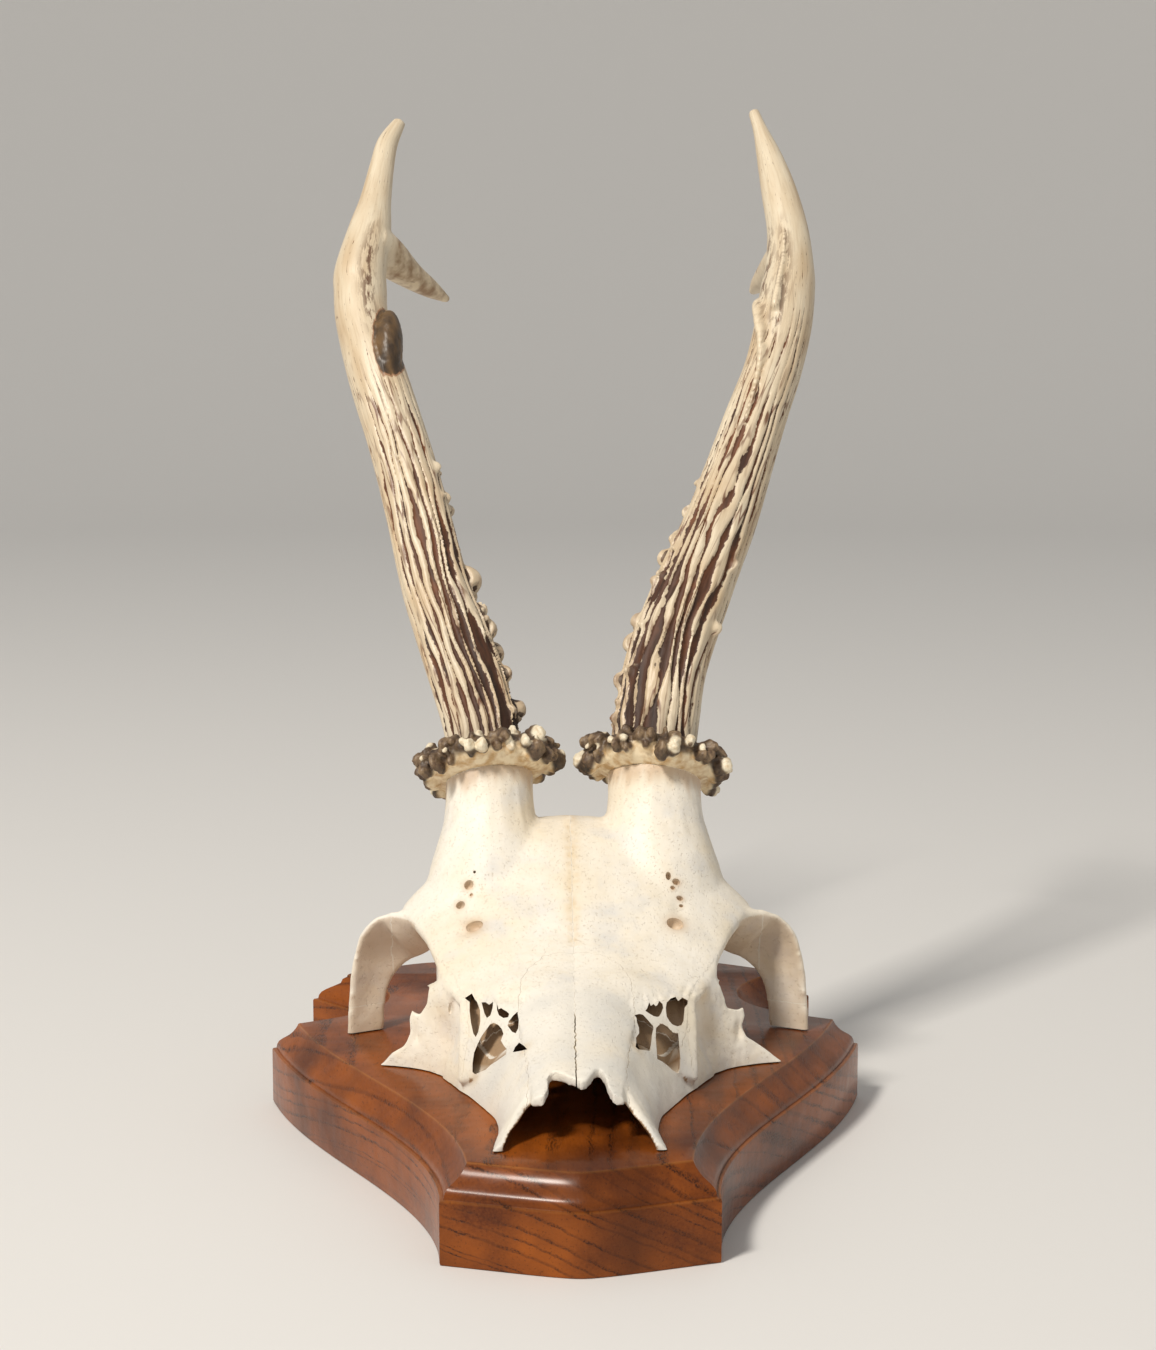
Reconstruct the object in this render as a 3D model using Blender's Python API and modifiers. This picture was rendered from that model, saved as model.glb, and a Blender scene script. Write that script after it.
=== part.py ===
"""Short-cut skull cap of a roe deer with both antlers, on a moulded oak shield that lies flat.

Units are metres, +Z up. The nose points towards -Y, and the origin is the centre of the
shield's underside. Left and right are as seen from the front, so left is towards -X.
"""
import math
import random

import bmesh
import bpy
from mathutils import Matrix, Vector

MM = 0.001
GAP = 0.3 * MM

# Oak shield: straight band below, ogee moulding above, flat top.
SHIELD_FRONT = -82.0 * MM
SHIELD_REAR = 84.0 * MM
SHIELD_HALF_WIDTH = 61.2 * MM
SHIELD_END_HALF_WIDTH = 24.5 * MM
BAND_HEIGHT = 11.7 * MM
SHIELD_HEIGHT = 17.5 * MM
MOULDING_INSET = 5.2 * MM

# Skull cap, which rests on the shield's top.
BONE_BASE = SHIELD_HEIGHT + GAP
MASS_FLOOR = 15.0
MASS_VOXEL = 0.8 * MM
MASS_KEPT = 0.036
PLATE = 2.5

# Antlers: the base of each coronet, its lean to the rear and its outward lean.
CORONET_CENTRE = Vector((17.2 * MM, 24.6 * MM, 71.0 * MM))
CORONET_AXIS = Vector((0.12, 0.48, 0.87)).normalized()
CORONET_RADIUS = 12.6 * MM
CORONET_THICKNESS = 6.0 * MM
# Rows of knobs: how many, their distance from the axis and their height above the middle, in mm.
KNOB_ROWS = [(14, 13.5, -0.9), (11, 12.9, 1.7)]
BEAM_SIDES = 18
RIB_COUNT = 8
RIB_DEPTH = 0.35 * MM

# Each station of a beam: its centre and its width, in mm, from the coronet to the tip.
LEFT_BEAM = [
    (-16.6, 26.4, 74.2, 15.8), (-17.6, 28.4, 79.0, 15.4), (-20.0, 32.2, 87.0, 15.4),
    (-24.0, 38.0, 98.0, 14.8), (-27.3, 43.5, 107.0, 14.0), (-31.2, 53.0, 122.0, 13.4),
    (-35.2, 61.5, 135.5, 13.0), (-39.8, 70.0, 149.0, 12.8), (-43.4, 78.5, 161.0, 11.8),
    (-44.1, 83.5, 168.0, 11.8),
]
LEFT_TIP = [
    (-44.1, 86.0, 172.2, 11.6), (-42.2, 92.0, 181.5, 9.6), (-41.1, 96.5, 188.0, 7.2),
    (-39.8, 102.0, 196.0, 5.6), (-38.6, 105.6, 201.4, 4.8), (-36.0, 109.2, 206.6, 1.8),
]
LEFT_REAR_TINE = [
    (-42.5, 90.0, 178.6, 10.6), (-38.4, 94.0, 175.6, 9.2), (-33.6, 99.6, 171.6, 6.4),
    (-29.2, 105.0, 168.6, 4.4), (-25.2, 110.0, 166.0, 1.6),
]
RIGHT_BEAM = [
    (18.0, 26.2, 74.0, 17.6), (18.9, 28.2, 80.0, 17.4), (21.2, 33.0, 91.0, 17.0),
    (26.4, 41.0, 103.5, 16.4), (30.4, 46.6, 112.0, 15.6), (34.6, 52.4, 121.0, 14.8),
    (42.2, 65.0, 140.0, 13.2), (46.6, 72.0, 150.5, 12.6), (49.4, 77.6, 160.0, 12.6),
    (50.9, 83.0, 167.8, 12.2),
]
RIGHT_TIP = [
    (51.6, 86.0, 172.0, 11.2), (51.7, 91.5, 181.0, 9.4), (50.2, 97.8, 190.5, 8.0),
    (48.5, 103.4, 198.4, 5.8), (46.8, 107.4, 204.6, 3.4), (45.4, 110.0, 209.2, 1.6),
]
RIGHT_REAR_TINE = [
    (52.0, 89.0, 176.0, 10.0), (50.2, 95.5, 173.6, 8.4), (48.4, 101.0, 171.6, 6.2),
    (46.8, 106.0, 169.6, 4.2), (45.4, 110.0, 167.8, 1.6),
]
# Blunt front tines: centre, width, depth and height, in mm, and their tilt about X in degrees.
LEFT_FRONT_STUB = ((-36.8, 70.6, 156.2), (8.6, 9.6, 17.0), -32.0)
RIGHT_FRONT_STUB = ((48.5, 77.6, 166.4), (5.6, 10.0, 13.0), -12.0)

# Large pearls of each beam: height in mm, angle from the midline round to the rear in degrees,
# and how far each stands out in mm.
LEFT_PEARLS = [
    (121.0, 10, 1.5), (106.0, 5, 3.2), (96.0, 0, 2.2), (92.0, 20, 2.6), (86.5, -10, 1.7), (80.5, 5, 2.6),
]
RIGHT_PEARLS = [
    (119.5, 10, 1.5), (109.5, 5, 2.1), (104.5, 25, 1.6), (97.0, 0, 1.8), (93.5, 15, 2.3), (86.0, -5, 1.7),
    (110.3, 216, 1.5), (98.4, 205, 1.7),
]
# Smaller pearls, strewn over the inner and rear sides of the lower half.
REAR_PEARL_COUNT = 9
REAR_PEARL_SIZES = [1.4, 1.8, 2.2]
LOWEST_PEARL = 80.0
PEARLED_LENGTH = 46.0


def clear_scene():
    for item in list(bpy.data.objects):
        bpy.data.objects.remove(item, do_unlink=True)


def make_collection(name):
    collection = bpy.data.collections.new(name)
    bpy.context.scene.collection.children.link(collection)
    return collection


clear_scene()
PARTS = make_collection("roe_deer_antler_mount")
CUTTERS = make_collection("cutters")


def make_material(name, colour, roughness):
    material = bpy.data.materials.new(name)
    material.use_nodes = True
    shader = material.node_tree.nodes["Principled BSDF"]
    shader.inputs["Base Color"].default_value = (*colour, 1.0)
    shader.inputs["Roughness"].default_value = roughness
    shader.inputs["Metallic"].default_value = 0.0
    material.diffuse_color = (*colour, 1.0)
    return material


BONE = (0.86, 0.80, 0.68)
BONE_SHADED = (0.72, 0.62, 0.48)
ANTLER = (0.56, 0.42, 0.27)
ANTLER_DARK = (0.16, 0.09, 0.05)
ANTLER_PALE = (0.74, 0.60, 0.42)
OAK = (0.33, 0.13, 0.05)


def object_from(bm, name, collection=None):
    """Put a bmesh into a new object, with its faces turned outwards."""
    bmesh.ops.recalc_face_normals(bm, faces=bm.faces)
    mesh = bpy.data.meshes.new(name)
    bm.to_mesh(mesh)
    bm.free()
    item = bpy.data.objects.new(name, mesh)
    (collection or PARTS).objects.link(item)
    if collection is CUTTERS:
        item.hide_render = True
        item.display_type = "WIRE"
    return item


def finish(item, name, colour, roughness=0.5, sharp=35.0):
    """Give a piece its node name, its own material and smooth round sides."""
    item.name = name
    item.data.name = name
    item.data.materials.clear()
    item.data.materials.append(make_material(name, colour, roughness))
    item.data.shade_smooth()
    item.data.set_sharp_from_angle(angle=math.radians(sharp))
    return item


def loft(rings):
    """Join rings of equally many points into one closed body, with a flat face on each end."""
    bm = bmesh.new()
    rows = [[bm.verts.new(point) for point in ring] for ring in rings]
    count = len(rows[0])
    for near, far in zip(rows, rows[1:]):
        for k in range(count):
            bm.faces.new((near[k], near[(k + 1) % count], far[(k + 1) % count], far[k]))
    bm.faces.new(list(reversed(rows[0])))
    bm.faces.new(rows[-1])
    return bm


def smooth_stations(stations, steps):
    """Read a smooth curve through stations of numbers, with some steps between each pair."""
    ends = [stations[0]] + list(stations) + [stations[-1]]
    rows = []
    for before, start, end, after in zip(ends, ends[1:], ends[2:], ends[3:]):
        for step in range(steps):
            t = step / steps
            row = []
            for p0, p1, p2, p3 in zip(before, start, end, after):
                slope = (p2 - p0) / 2
                next_slope = (p3 - p1) / 2
                rise = 2 * (p1 - p2) + slope + next_slope
                sag = -3 * (p1 - p2) - 2 * slope - next_slope
                row.append(((rise * t + sag) * t + slope) * t + p1)
            rows.append(row)
    rows.append(list(stations[-1]))
    return rows


def bezier(start, first, second, end, count):
    """Points along a Bezier curve, without its end."""
    points = []
    for k in range(count):
        t = k / count
        s = 1 - t
        weights = (s ** 3, 3 * s * s * t, 3 * s * t * t, t ** 3)
        x = sum(w * p[0] for w, p in zip(weights, (start, first, second, end)))
        y = sum(w * p[1] for w, p in zip(weights, (start, first, second, end)))
        points.append((x, y))
    return points


def in_metres(points):
    return [tuple(value * MM for value in point) for point in points]


def apply_modifiers(item):
    graph = bpy.context.evaluated_depsgraph_get()
    mesh = bpy.data.meshes.new_from_object(item.evaluated_get(graph))
    item.modifiers.clear()
    item.data = mesh


def keep_largest(item):
    """Keep only the largest closed surface of a mesh."""
    bm = bmesh.new()
    bm.from_mesh(item.data)
    groups = loose_groups(bm)
    groups.sort(key=group_size, reverse=True)
    spare = [vert for group in groups[1:] for vert in group]
    bmesh.ops.delete(bm, geom=spare, context="VERTS")
    bm.to_mesh(item.data)
    bm.free()


def loose_groups(bm):
    """The vertices of each separate surface."""
    groups = []
    seen = set()
    for start in bm.verts:
        if start in seen:
            continue
        group = [start]
        seen.add(start)
        for vert in group:
            for edge in vert.link_edges:
                other = edge.other_vert(vert)
                if other not in seen:
                    seen.add(other)
                    group.append(other)
        groups.append(group)
    return groups


def group_size(group):
    """The diagonal of a group's box."""
    low = [min(vert.co[k] for vert in group) for k in range(3)]
    high = [max(vert.co[k] for vert in group) for k in range(3)]
    return (Vector(high) - Vector(low)).length


def fuse(item, extras):
    """Fuse closed pieces into one body with a single union."""
    group = bpy.data.collections.new(item.name + "_union")
    for extra in extras:
        group.objects.link(extra)
    union = item.modifiers.new("union", "BOOLEAN")
    union.operation = "UNION"
    union.operand_type = "COLLECTION"
    union.collection = group
    union.solver = "EXACT"
    apply_modifiers(item)
    for extra in extras:
        bpy.data.objects.remove(extra, do_unlink=True)
    bpy.data.collections.remove(group)
    keep_largest(item)


def cut(item, cutter, solver="EXACT"):
    boolean = item.modifiers.new("cut", "BOOLEAN")
    boolean.operation = "DIFFERENCE"
    boolean.object = cutter
    boolean.solver = solver
    apply_modifiers(item)
    bpy.data.objects.remove(cutter, do_unlink=True)


def ellipsoid(centre, radii, segments=10, rings=7, turn=None):
    """A closed rounded lump; centre and radii are in mm."""
    bm = bmesh.new()
    bmesh.ops.create_uvsphere(bm, u_segments=segments, v_segments=rings, radius=1.0)
    scale = Matrix.Diagonal((*[r * MM for r in radii], 1.0))
    place = Matrix.Translation(Vector(centre) * MM)
    bm.transform(place @ (turn or Matrix.Identity(4)) @ scale)
    return object_from(bm, "lump", CUTTERS)


def disc(centre, axis, radius, thickness):
    """A thin round cutter across an axis."""
    bm = bmesh.new()
    bmesh.ops.create_cone(bm, cap_ends=True, segments=20, radius1=radius, radius2=radius, depth=thickness)
    turn = axis.to_track_quat("Z", "Y").to_matrix().to_4x4()
    bm.transform(Matrix.Translation(centre) @ turn)
    return object_from(bm, "disc", CUTTERS)


def shield_half_outline():
    """Half of the shield's outline, from the front point round to the rear point, in metres."""
    front = (0.0, SHIELD_FRONT / MM)
    corner = (SHIELD_END_HALF_WIDTH / MM, -74.6)
    wide = (SHIELD_HALF_WIDTH / MM, 25.0)
    waist = (42.4, 44.0)
    ear = (55.4, 65.5)
    shoulder = (27.0, 80.0)
    rear = (0.0, SHIELD_REAR / MM)
    points = bezier(front, (4.0, -82.0), (14.0, -78.0), corner, 4)
    points += bezier(corner, (25.6, -40.0), (52.0, -14.0), wide, 12)
    points += bezier(wide, (53.0, 30.0), (42.6, 34.0), waist, 6)
    points += bezier(waist, (42.4, 53.0), (48.6, 56.6), ear, 6)
    points += bezier(ear, (46.0, 71.0), (37.0, 79.5), shoulder, 5)
    points += bezier(shoulder, (18.0, 80.6), (12.0, 84.0), rear, 5)
    points.append(rear)
    return in_metres(points)


def inset_outline(points, distance):
    """Move a closed outline inwards by a distance, with mitred corners."""
    moved = []
    count = len(points)
    for k, point in enumerate(points):
        here = Vector(point)
        into = (here - Vector(points[k - 1])).normalized()
        onward = (Vector(points[(k + 1) % count]) - here).normalized()
        first = Vector((-into.y, into.x))
        second = Vector((-onward.y, onward.x))
        middle = (first + second).normalized()
        moved.append(here + middle * distance / max(middle.dot(first), 0.4))
    return moved


def make_shield():
    half = shield_half_outline()
    outline = half + [(-x, y) for x, y in reversed(half[1:-1])]
    rise = SHIELD_HEIGHT - BAND_HEIGHT
    # Each pair is the inset and the height of one line of the moulding.
    profile = [
        (0.5 * MM, 0.0),
        (0.0, 0.5 * MM),
        (0.0, BAND_HEIGHT - 0.3 * MM),
        (0.3 * MM, BAND_HEIGHT),
        (0.16 * MOULDING_INSET, BAND_HEIGHT + 0.02 * rise),
        (0.30 * MOULDING_INSET, BAND_HEIGHT + 0.26 * rise),
        (0.62 * MOULDING_INSET, BAND_HEIGHT + 0.38 * rise),
        (0.90 * MOULDING_INSET, BAND_HEIGHT + 0.66 * rise),
        (MOULDING_INSET, SHIELD_HEIGHT),
    ]
    rings = []
    for inset, height in profile:
        rings.append([(point.x, point.y, height) for point in inset_outline(outline, inset)])
    finish(object_from(loft(rings), "shield"), "shield", OAK, 0.3, 30.0)


# Half sections of the cranium in mm: y, height at the midline, rim x and z, and wall x.
CRANIUM = [
    (-12.5, 41.6, 26.8, 35.8, 25.6),
    (-8.0, 45.0, 28.2, 38.8, 25.8),
    (0.0, 51.6, 31.0, 41.8, 26.2),
    (8.0, 57.4, 34.4, 43.6, 26.4),
    (14.0, 60.4, 35.6, 43.8, 26.4),
    (20.0, 61.2, 33.0, 43.4, 26.6),
    (26.0, 60.2, 30.6, 42.6, 27.4),
    (32.0, 57.2, 30.0, 41.0, 28.4),
    (40.0, 52.0, 30.0, 38.0, 28.8),
    (48.0, 45.4, 28.4, 34.0, 27.0),
    (56.0, 36.6, 24.4, 28.6, 23.0),
    (61.0, 28.6, 19.0, 23.4, 17.6),
    (64.0, 21.0, 12.0, 18.6, 11.0),
]
ROOF_POINTS = 9


def both_sides(half):
    """A full ring from a half ring that runs from the midline's top to the midline's base."""
    return half + [(-x, y, z) for x, y, z in reversed(half) if x > 0.0]


def cranium_ring(station):
    """One closed section of the cranium, over both rims and down to its base."""
    y, top, rim_x, rim_z, wall_x = station
    half = [(0.0, y, top)]
    for k in range(1, ROOF_POINTS + 1):
        x = rim_x * k / ROOF_POINTS
        half.append((x, y, top - (top - rim_z) * (x / rim_x) ** 2.3))
    drop = rim_z - MASS_FLOOR
    half.append((rim_x - 0.6, y, rim_z - 0.07 * drop))
    half.append(((rim_x + wall_x) / 2, y, rim_z - 0.15 * drop))
    half.append((wall_x + 0.3, y, rim_z - 0.26 * drop))
    half.append((wall_x, y, MASS_FLOOR + 0.45 * drop))
    half.append((wall_x, y, MASS_FLOOR))
    return in_metres(both_sides(half))


def tube(stations, sides, steps, ribs=0, rib_depth=0.0):
    """A closed tapered tube through stations of x, y, z, width and, where given, depth in mm."""
    rows = smooth_stations(stations, steps)
    centres = [Vector(row[:3]) * MM for row in rows]
    rings = []
    for k, row in enumerate(rows):
        ahead = centres[min(k + 1, len(rows) - 1)] - centres[max(k - 1, 0)]
        axis = ahead.normalized()
        rear = Vector((0, 1, 0)) - axis * axis.y
        rear.normalize()
        across = rear.cross(axis)
        wide = row[3] * MM / 2
        deep = row[-1] * MM / 2
        ring = []
        for side in range(sides):
            angle = math.tau * side / sides
            rib = rib_depth * math.cos(ribs * angle) * min(1.0, wide / (6 * MM))
            ring.append(centres[k] + across * (wide + rib) * math.cos(angle)
                        + rear * (deep + rib) * math.sin(angle))
        rings.append(ring)
    return loft(rings)


def box_cutter(low, high):
    """A box between two corners in mm."""
    bm = bmesh.new()
    bmesh.ops.create_cube(bm, size=1.0)
    centre = (Vector(low) + Vector(high)) / 2 * MM
    size = (Vector(high) - Vector(low)) * MM
    bm.transform(Matrix.Translation(centre) @ Matrix.Diagonal((*size, 1.0)))
    return object_from(bm, "box", CUTTERS)


# The roof of the nose and the brow in mm: y, height at the midline, side edge x and z.
ROOF_STATIONS = [
    (-63.0, 26.8, 8.4, 25.2), (-56.0, 29.2, 8.4, 26.8), (-46.0, 32.2, 9.2, 29.2),
    (-36.0, 35.2, 10.6, 31.8), (-29.0, 37.2, 11.6, 33.8), (-25.0, 38.2, 17.6, 33.6),
    (-22.0, 38.8, 21.6, 33.8), (-18.0, 39.6, 24.4, 34.4), (-10.0, 43.4, 27.6, 37.2),
]
# The side of the nose in mm: y, upper edge x and z, lower edge x and z.
MAXILLA_STATIONS = [
    (-66.0, 14.4, 18.6, 15.6, 15.4), (-61.0, 12.0, 21.6, 15.2, 15.4), (-56.0, 9.0, 26.0, 15.2, 15.4),
    (-48.0, 9.4, 28.0, 15.6, 15.4), (-41.0, 10.6, 29.6, 18.0, 15.4), (-34.5, 12.6, 29.0, 20.6, 15.4),
    (-30.0, 16.4, 24.4, 22.4, 15.4), (-25.0, 20.0, 25.4, 24.2, 15.4), (-19.5, 22.8, 25.6, 26.8, 15.4),
]
# The plate in front of the eye socket in mm: x, lower edge y, upper edge y and z, and depth.
LACRIMAL_STATIONS = [
    (20.4, -24.6, -19.0, 33.6, 4.0), (23.5, -22.6, -16.6, 34.6, 4.6), (26.2, -19.4, -14.6, 34.4, 5.2),
    (28.8, -15.8, -11.8, 31.4, 5.2), (31.6, -13.6, -9.8, 28.6, 4.4), (34.2, -12.2, -9.2, 22.2, 4.0),
    (39.2, -11.0, -9.6, 18.4, 3.4),
]
# The curved blade behind the eye socket, from the brow to the shield, in mm: its front edge x, y, z,
# its rear edge x, y, z, and how far its outer face bulges.
ORBIT_BAR = [
    (33.0, 7.0, 43.2, 28.6, 15.0, 35.4, 0.6), (37.0, 10.4, 43.4, 30.2, 17.4, 33.8, 1.0),
    (40.8, 12.0, 41.8, 33.6, 18.4, 32.0, 1.4), (43.4, 13.0, 39.0, 36.2, 18.6, 29.8, 1.6),
    (44.9, 13.4, 35.6, 38.0, 18.4, 27.4, 1.4), (45.8, 13.6, 31.0, 39.0, 18.0, 24.6, 1.1),
    (46.3, 13.6, 26.0, 39.5, 17.8, 21.6, 0.8), (46.8, 13.4, 19.6, 39.7, 17.6, 17.6, 0.6),
    (47.0, 13.2, 13.4, 39.8, 17.4, 13.4, 0.5),
]
BAR_THICKNESS = 2.6
# The lattice in the gap beside the nose: the ends of its struts and their width, in mm.
LATTICE_STRUTS = [
    [(10.0, -36.6, 30.0, 2.8), (14.6, -30.6, 30.6, 2.4), (20.4, -25.8, 30.2, 2.4),
     (22.6, -22.0, 29.8, 2.8)],
    [(14.6, -30.6, 30.6, 2.4), (13.4, -25.0, 35.0, 2.8)],
    [(14.6, -30.6, 30.6, 2.4), (15.6, -34.0, 25.2, 2.8)],
    [(18.0, -27.6, 30.4, 2.4), (18.6, -22.6, 34.2, 2.8)],
]
PEDICLE_REACH = 27.0

# Sutures as seen from above, in mm, on the right side; each is a thin cut from top to base.
NASAL_SUTURE = [
    (0.0, -14.9), (5.5, -15.6), (9.0, -18.4), (10.7, -25.0), (10.9, -35.0), (9.8, -44.0),
    (9.2, -54.0), (9.4, -72.0),
]
FRONTAL_EDGE = [
    (10.4, -27.8), (14.5, -26.6), (18.4, -24.4), (21.4, -21.4), (23.5, -15.6), (27.5, -8.2),
    (32.0, -5.6), (44.0, -5.0),
]
LACRIMAL_EDGE = [(21.4, -21.4), (20.6, -26.4), (22.0, -30.0), (26.5, -36.0)]
GAP_FLOOR = [(20.6, -26.4), (18.6, -31.2), (14.4, -34.4), (10.6, -37.6)]
# The notched front edge of the nasal bones, closed well in front of them.
NASAL_FRONT = [
    (-1.0, -57.4), (1.4, -58.2), (3.4, -56.2), (4.8, -58.2), (6.2, -62.4), (9.4, -61.8),
    (9.4, -76.0), (-1.0, -76.0),
]
CORONAL_SUTURE = [(0.0, 32.0), (8.0, 31.2), (16.0, 33.0), (40.0, 33.0)]
ORBIT_CUT = [(37.6, 2.0), (37.6, 24.0)]
ORBIT_FOOT_HEIGHT = 23.2

# Each bone on the right side, with a point near its middle in mm.
BONES = {
    "nasal": (5.0, -40.0, 31.0),
    "frontal": (16.0, 8.0, 42.0),
    "parietal": (14.0, 46.0, 33.0),
    "maxilla": (15.0, -43.0, 23.0),
    "lacrimal": (27.0, -16.0, 26.0),
    "ethmoid": (14.5, -27.0, 32.5),
    "postorbital_bar": (42.5, 14.8, 33.0),
    "zygomatic_foot": (43.4, 15.5, 20.0),
}
LEFT_SHARE = 0.965
RIGHT_SHARE = 1.035
SIDE_TURN = 0.6 * MM
TURN_START = 40.0 * MM
TURN_LENGTH = 34.0 * MM


def roof_plate():
    """The nasal bones and the front of the brow as one bent plate over the nose."""
    rings = []
    for y, top, edge_x, edge_z in smooth_stations(ROOF_STATIONS, 3):
        half = []
        for k in range(8):
            share = k / 7
            half.append((edge_x * share, y, top - (top - edge_z) * share ** 2.2))
        under = [(x, y, z - PLATE) for x, y, z in reversed(half)]
        upper = [(-x, y, z) for x, y, z in reversed(half[1:])] + half
        lower = under + [(-x, y, z) for x, y, z in reversed(under[:-1])]
        rings.append(in_metres(upper + lower))
    return object_from(loft(rings), "roof", CUTTERS)


def maxilla_plate():
    """The sloping side wall of the nose, which runs forwards into a spike."""
    rings = []
    for y, top_x, top_z, foot_x, foot_z in smooth_stations(MAXILLA_STATIONS, 3):
        outer = []
        for k in range(6):
            t = k / 5
            swell = 1.0 * math.sin(math.pi * t)
            outer.append((top_x + (foot_x - top_x) * t + swell, y, top_z + (foot_z - top_z) * t))
        inner = [(x - PLATE, y, z) for x, y, z in reversed(outer)]
        rings.append(in_metres(outer + inner))
    return object_from(loft(rings), "maxilla", CUTTERS)


def lacrimal_plate():
    """The lacrimal bone with the stub of the cheek bone, from the gap out to its point."""
    rings = []
    for x, foot_y, top_y, top_z, deep in smooth_stations(LACRIMAL_STATIONS, 3):
        front = []
        for k in range(6):
            t = k / 5
            front.append((x, foot_y + (top_y - foot_y) * t, MASS_FLOOR + (top_z - MASS_FLOOR) * t))
        back = [(x, y + deep, z) for x, y, z in reversed(front)]
        rings.append(in_metres(front + back))
    return object_from(loft(rings), "lacrimal", CUTTERS)


def orbit_blade():
    """The bar behind the eye socket, as a curved blade that is hollow towards the eye."""
    rings = []
    rows = smooth_stations(ORBIT_BAR, 3)
    for k, row in enumerate(rows):
        front = Vector(row[0:3])
        rear = Vector(row[3:6])
        ahead = Vector(rows[min(k + 1, len(rows) - 1)][0:3]) - Vector(rows[max(k - 1, 0)][0:3])
        outward = (rear - front).cross(ahead).normalized()
        if outward.x < 0:
            outward.negate()
        outer = []
        inner = []
        for step in range(7):
            t = step / 6
            spot = front.lerp(rear, t) + outward * row[6] * math.sin(math.pi * t)
            half = BAR_THICKNESS / 2 * (0.55 + 0.45 * math.sin(math.pi * t))
            outer.append(tuple(spot + outward * half))
            inner.append(tuple(spot - outward * half))
        rings.append(in_metres(outer + inner[::-1]))
    return object_from(loft(rings), "bar", CUTTERS)


def pedicle():
    """The post that carries an antler, wide at its root."""
    top = CORONET_CENTRE - CORONET_AXIS * 1.0 * MM
    foot = top - Vector((0.02, 0.34, 0.94)) * PEDICLE_REACH * MM
    widths = [(0.0, 29.0), (0.25, 26.0), (0.45, 22.4), (0.62, 19.6), (0.8, 18.6), (1.0, 18.8)]
    stations = [(*(foot.lerp(top, share) / MM), width) for share, width in widths]
    return object_from(tube(stations, 24, 2), "pedicle", CUTTERS)


def side_pieces():
    """The pieces of the skull that lie beside the midline, on the right."""
    pieces = [maxilla_plate(), lacrimal_plate(), pedicle(), orbit_blade()]
    for strut in LATTICE_STRUTS:
        pieces.append(object_from(tube(strut, 8, 2), "strut", CUTTERS))
    return pieces


def skull_mass():
    """The whole skull cap as one smooth closed body, before it is parted into bones."""
    bm = bmesh.new()
    rings = [cranium_ring(row) for row in smooth_stations(CRANIUM, 2)]
    middle = [object_from(loft(rings), "cranium", CUTTERS), roof_plate()]
    beside = side_pieces()
    for item in middle + beside:
        bm.from_mesh(item.data)
    for item in beside:
        twin = item.data.copy()
        twin.transform(Matrix.Scale(-1, 4, Vector((1, 0, 0))))
        twin.flip_normals()
        bm.from_mesh(twin)
        bpy.data.meshes.remove(twin)
    for item in middle + beside:
        bpy.data.objects.remove(item, do_unlink=True)
    mass = object_from(bm, "skull")
    remesh = mass.modifiers.new("blend", "REMESH")
    remesh.mode = "VOXEL"
    remesh.voxel_size = MASS_VOXEL
    soften = mass.modifiers.new("soften", "SMOOTH")
    soften.factor = 0.5
    soften.iterations = 6
    thin = mass.modifiers.new("thin_out", "DECIMATE")
    thin.ratio = MASS_KEPT
    apply_modifiers(mass)
    keep_largest(mass)
    return mass


def wall_cutter(line):
    """A thin upright wall along a suture, drawn from above."""
    points = [Vector(point) * MM for point in line]
    lefts = []
    rights = []
    for k, point in enumerate(points):
        into = (point - points[max(k - 1, 0)])
        onward = (points[min(k + 1, len(points) - 1)] - point)
        along = (into.normalized() + onward.normalized()).normalized()
        share = max(along.dot((onward if onward.length else into).normalized()), 0.5)
        across = Vector((-along.y, along.x)) * GAP / 2 / share
        lefts.append(point + across)
        rights.append(point - across)
    return prism(lefts + rights[::-1])


def prism(outline):
    """An upright cutter with an outline in metres, right through the skull."""
    rings = [[(point[0], point[1], height * MM) for point in outline] for height in (10.0, 90.0)]
    return object_from(loft(rings), "prism", CUTTERS)


def natural_x(x, y):
    """The real skull is a little wider on the right, and its nose turns to the left."""
    share = RIGHT_SHARE if x > 0 else LEFT_SHARE
    turn = math.sin((y + TURN_START) / TURN_LENGTH) if y < TURN_LENGTH * math.pi / 2 - TURN_START else 1.0
    return x * share + SIDE_TURN * turn


def natural_skew(mesh):
    for vert in mesh.vertices:
        vert.co.x = natural_x(vert.co.x, vert.co.y)


def make_skull():
    """Part the right half of the skull into its bones and mirror them for the left."""
    mass = skull_mass()
    cutters = [
        box_cutter((-80, -90, -20), (GAP / 2 / MM, 90, 90)),
        box_cutter((-80, -90, -20), (80, 90, BONE_BASE / MM)),
        box_cutter((37.0, 6.0, ORBIT_FOOT_HEIGHT), (52.0, 26.0, ORBIT_FOOT_HEIGHT + GAP / MM)),
    ]
    for line in (NASAL_SUTURE, FRONTAL_EDGE, LACRIMAL_EDGE, GAP_FLOOR, CORONAL_SUTURE, ORBIT_CUT):
        cutters.append(wall_cutter(line))
    cutters.append(prism(in_metres(NASAL_FRONT)))
    top = CORONET_CENTRE - CORONET_AXIS * (CORONET_THICKNESS / 2 + GAP)
    cutters.append(disc(top + CORONET_AXIS * 10 * MM, CORONET_AXIS, 14 * MM, 20 * MM))
    for cutter in cutters:
        cut(mass, cutter, solver="MANIFOLD")
    part_into_bones(mass)


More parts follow.
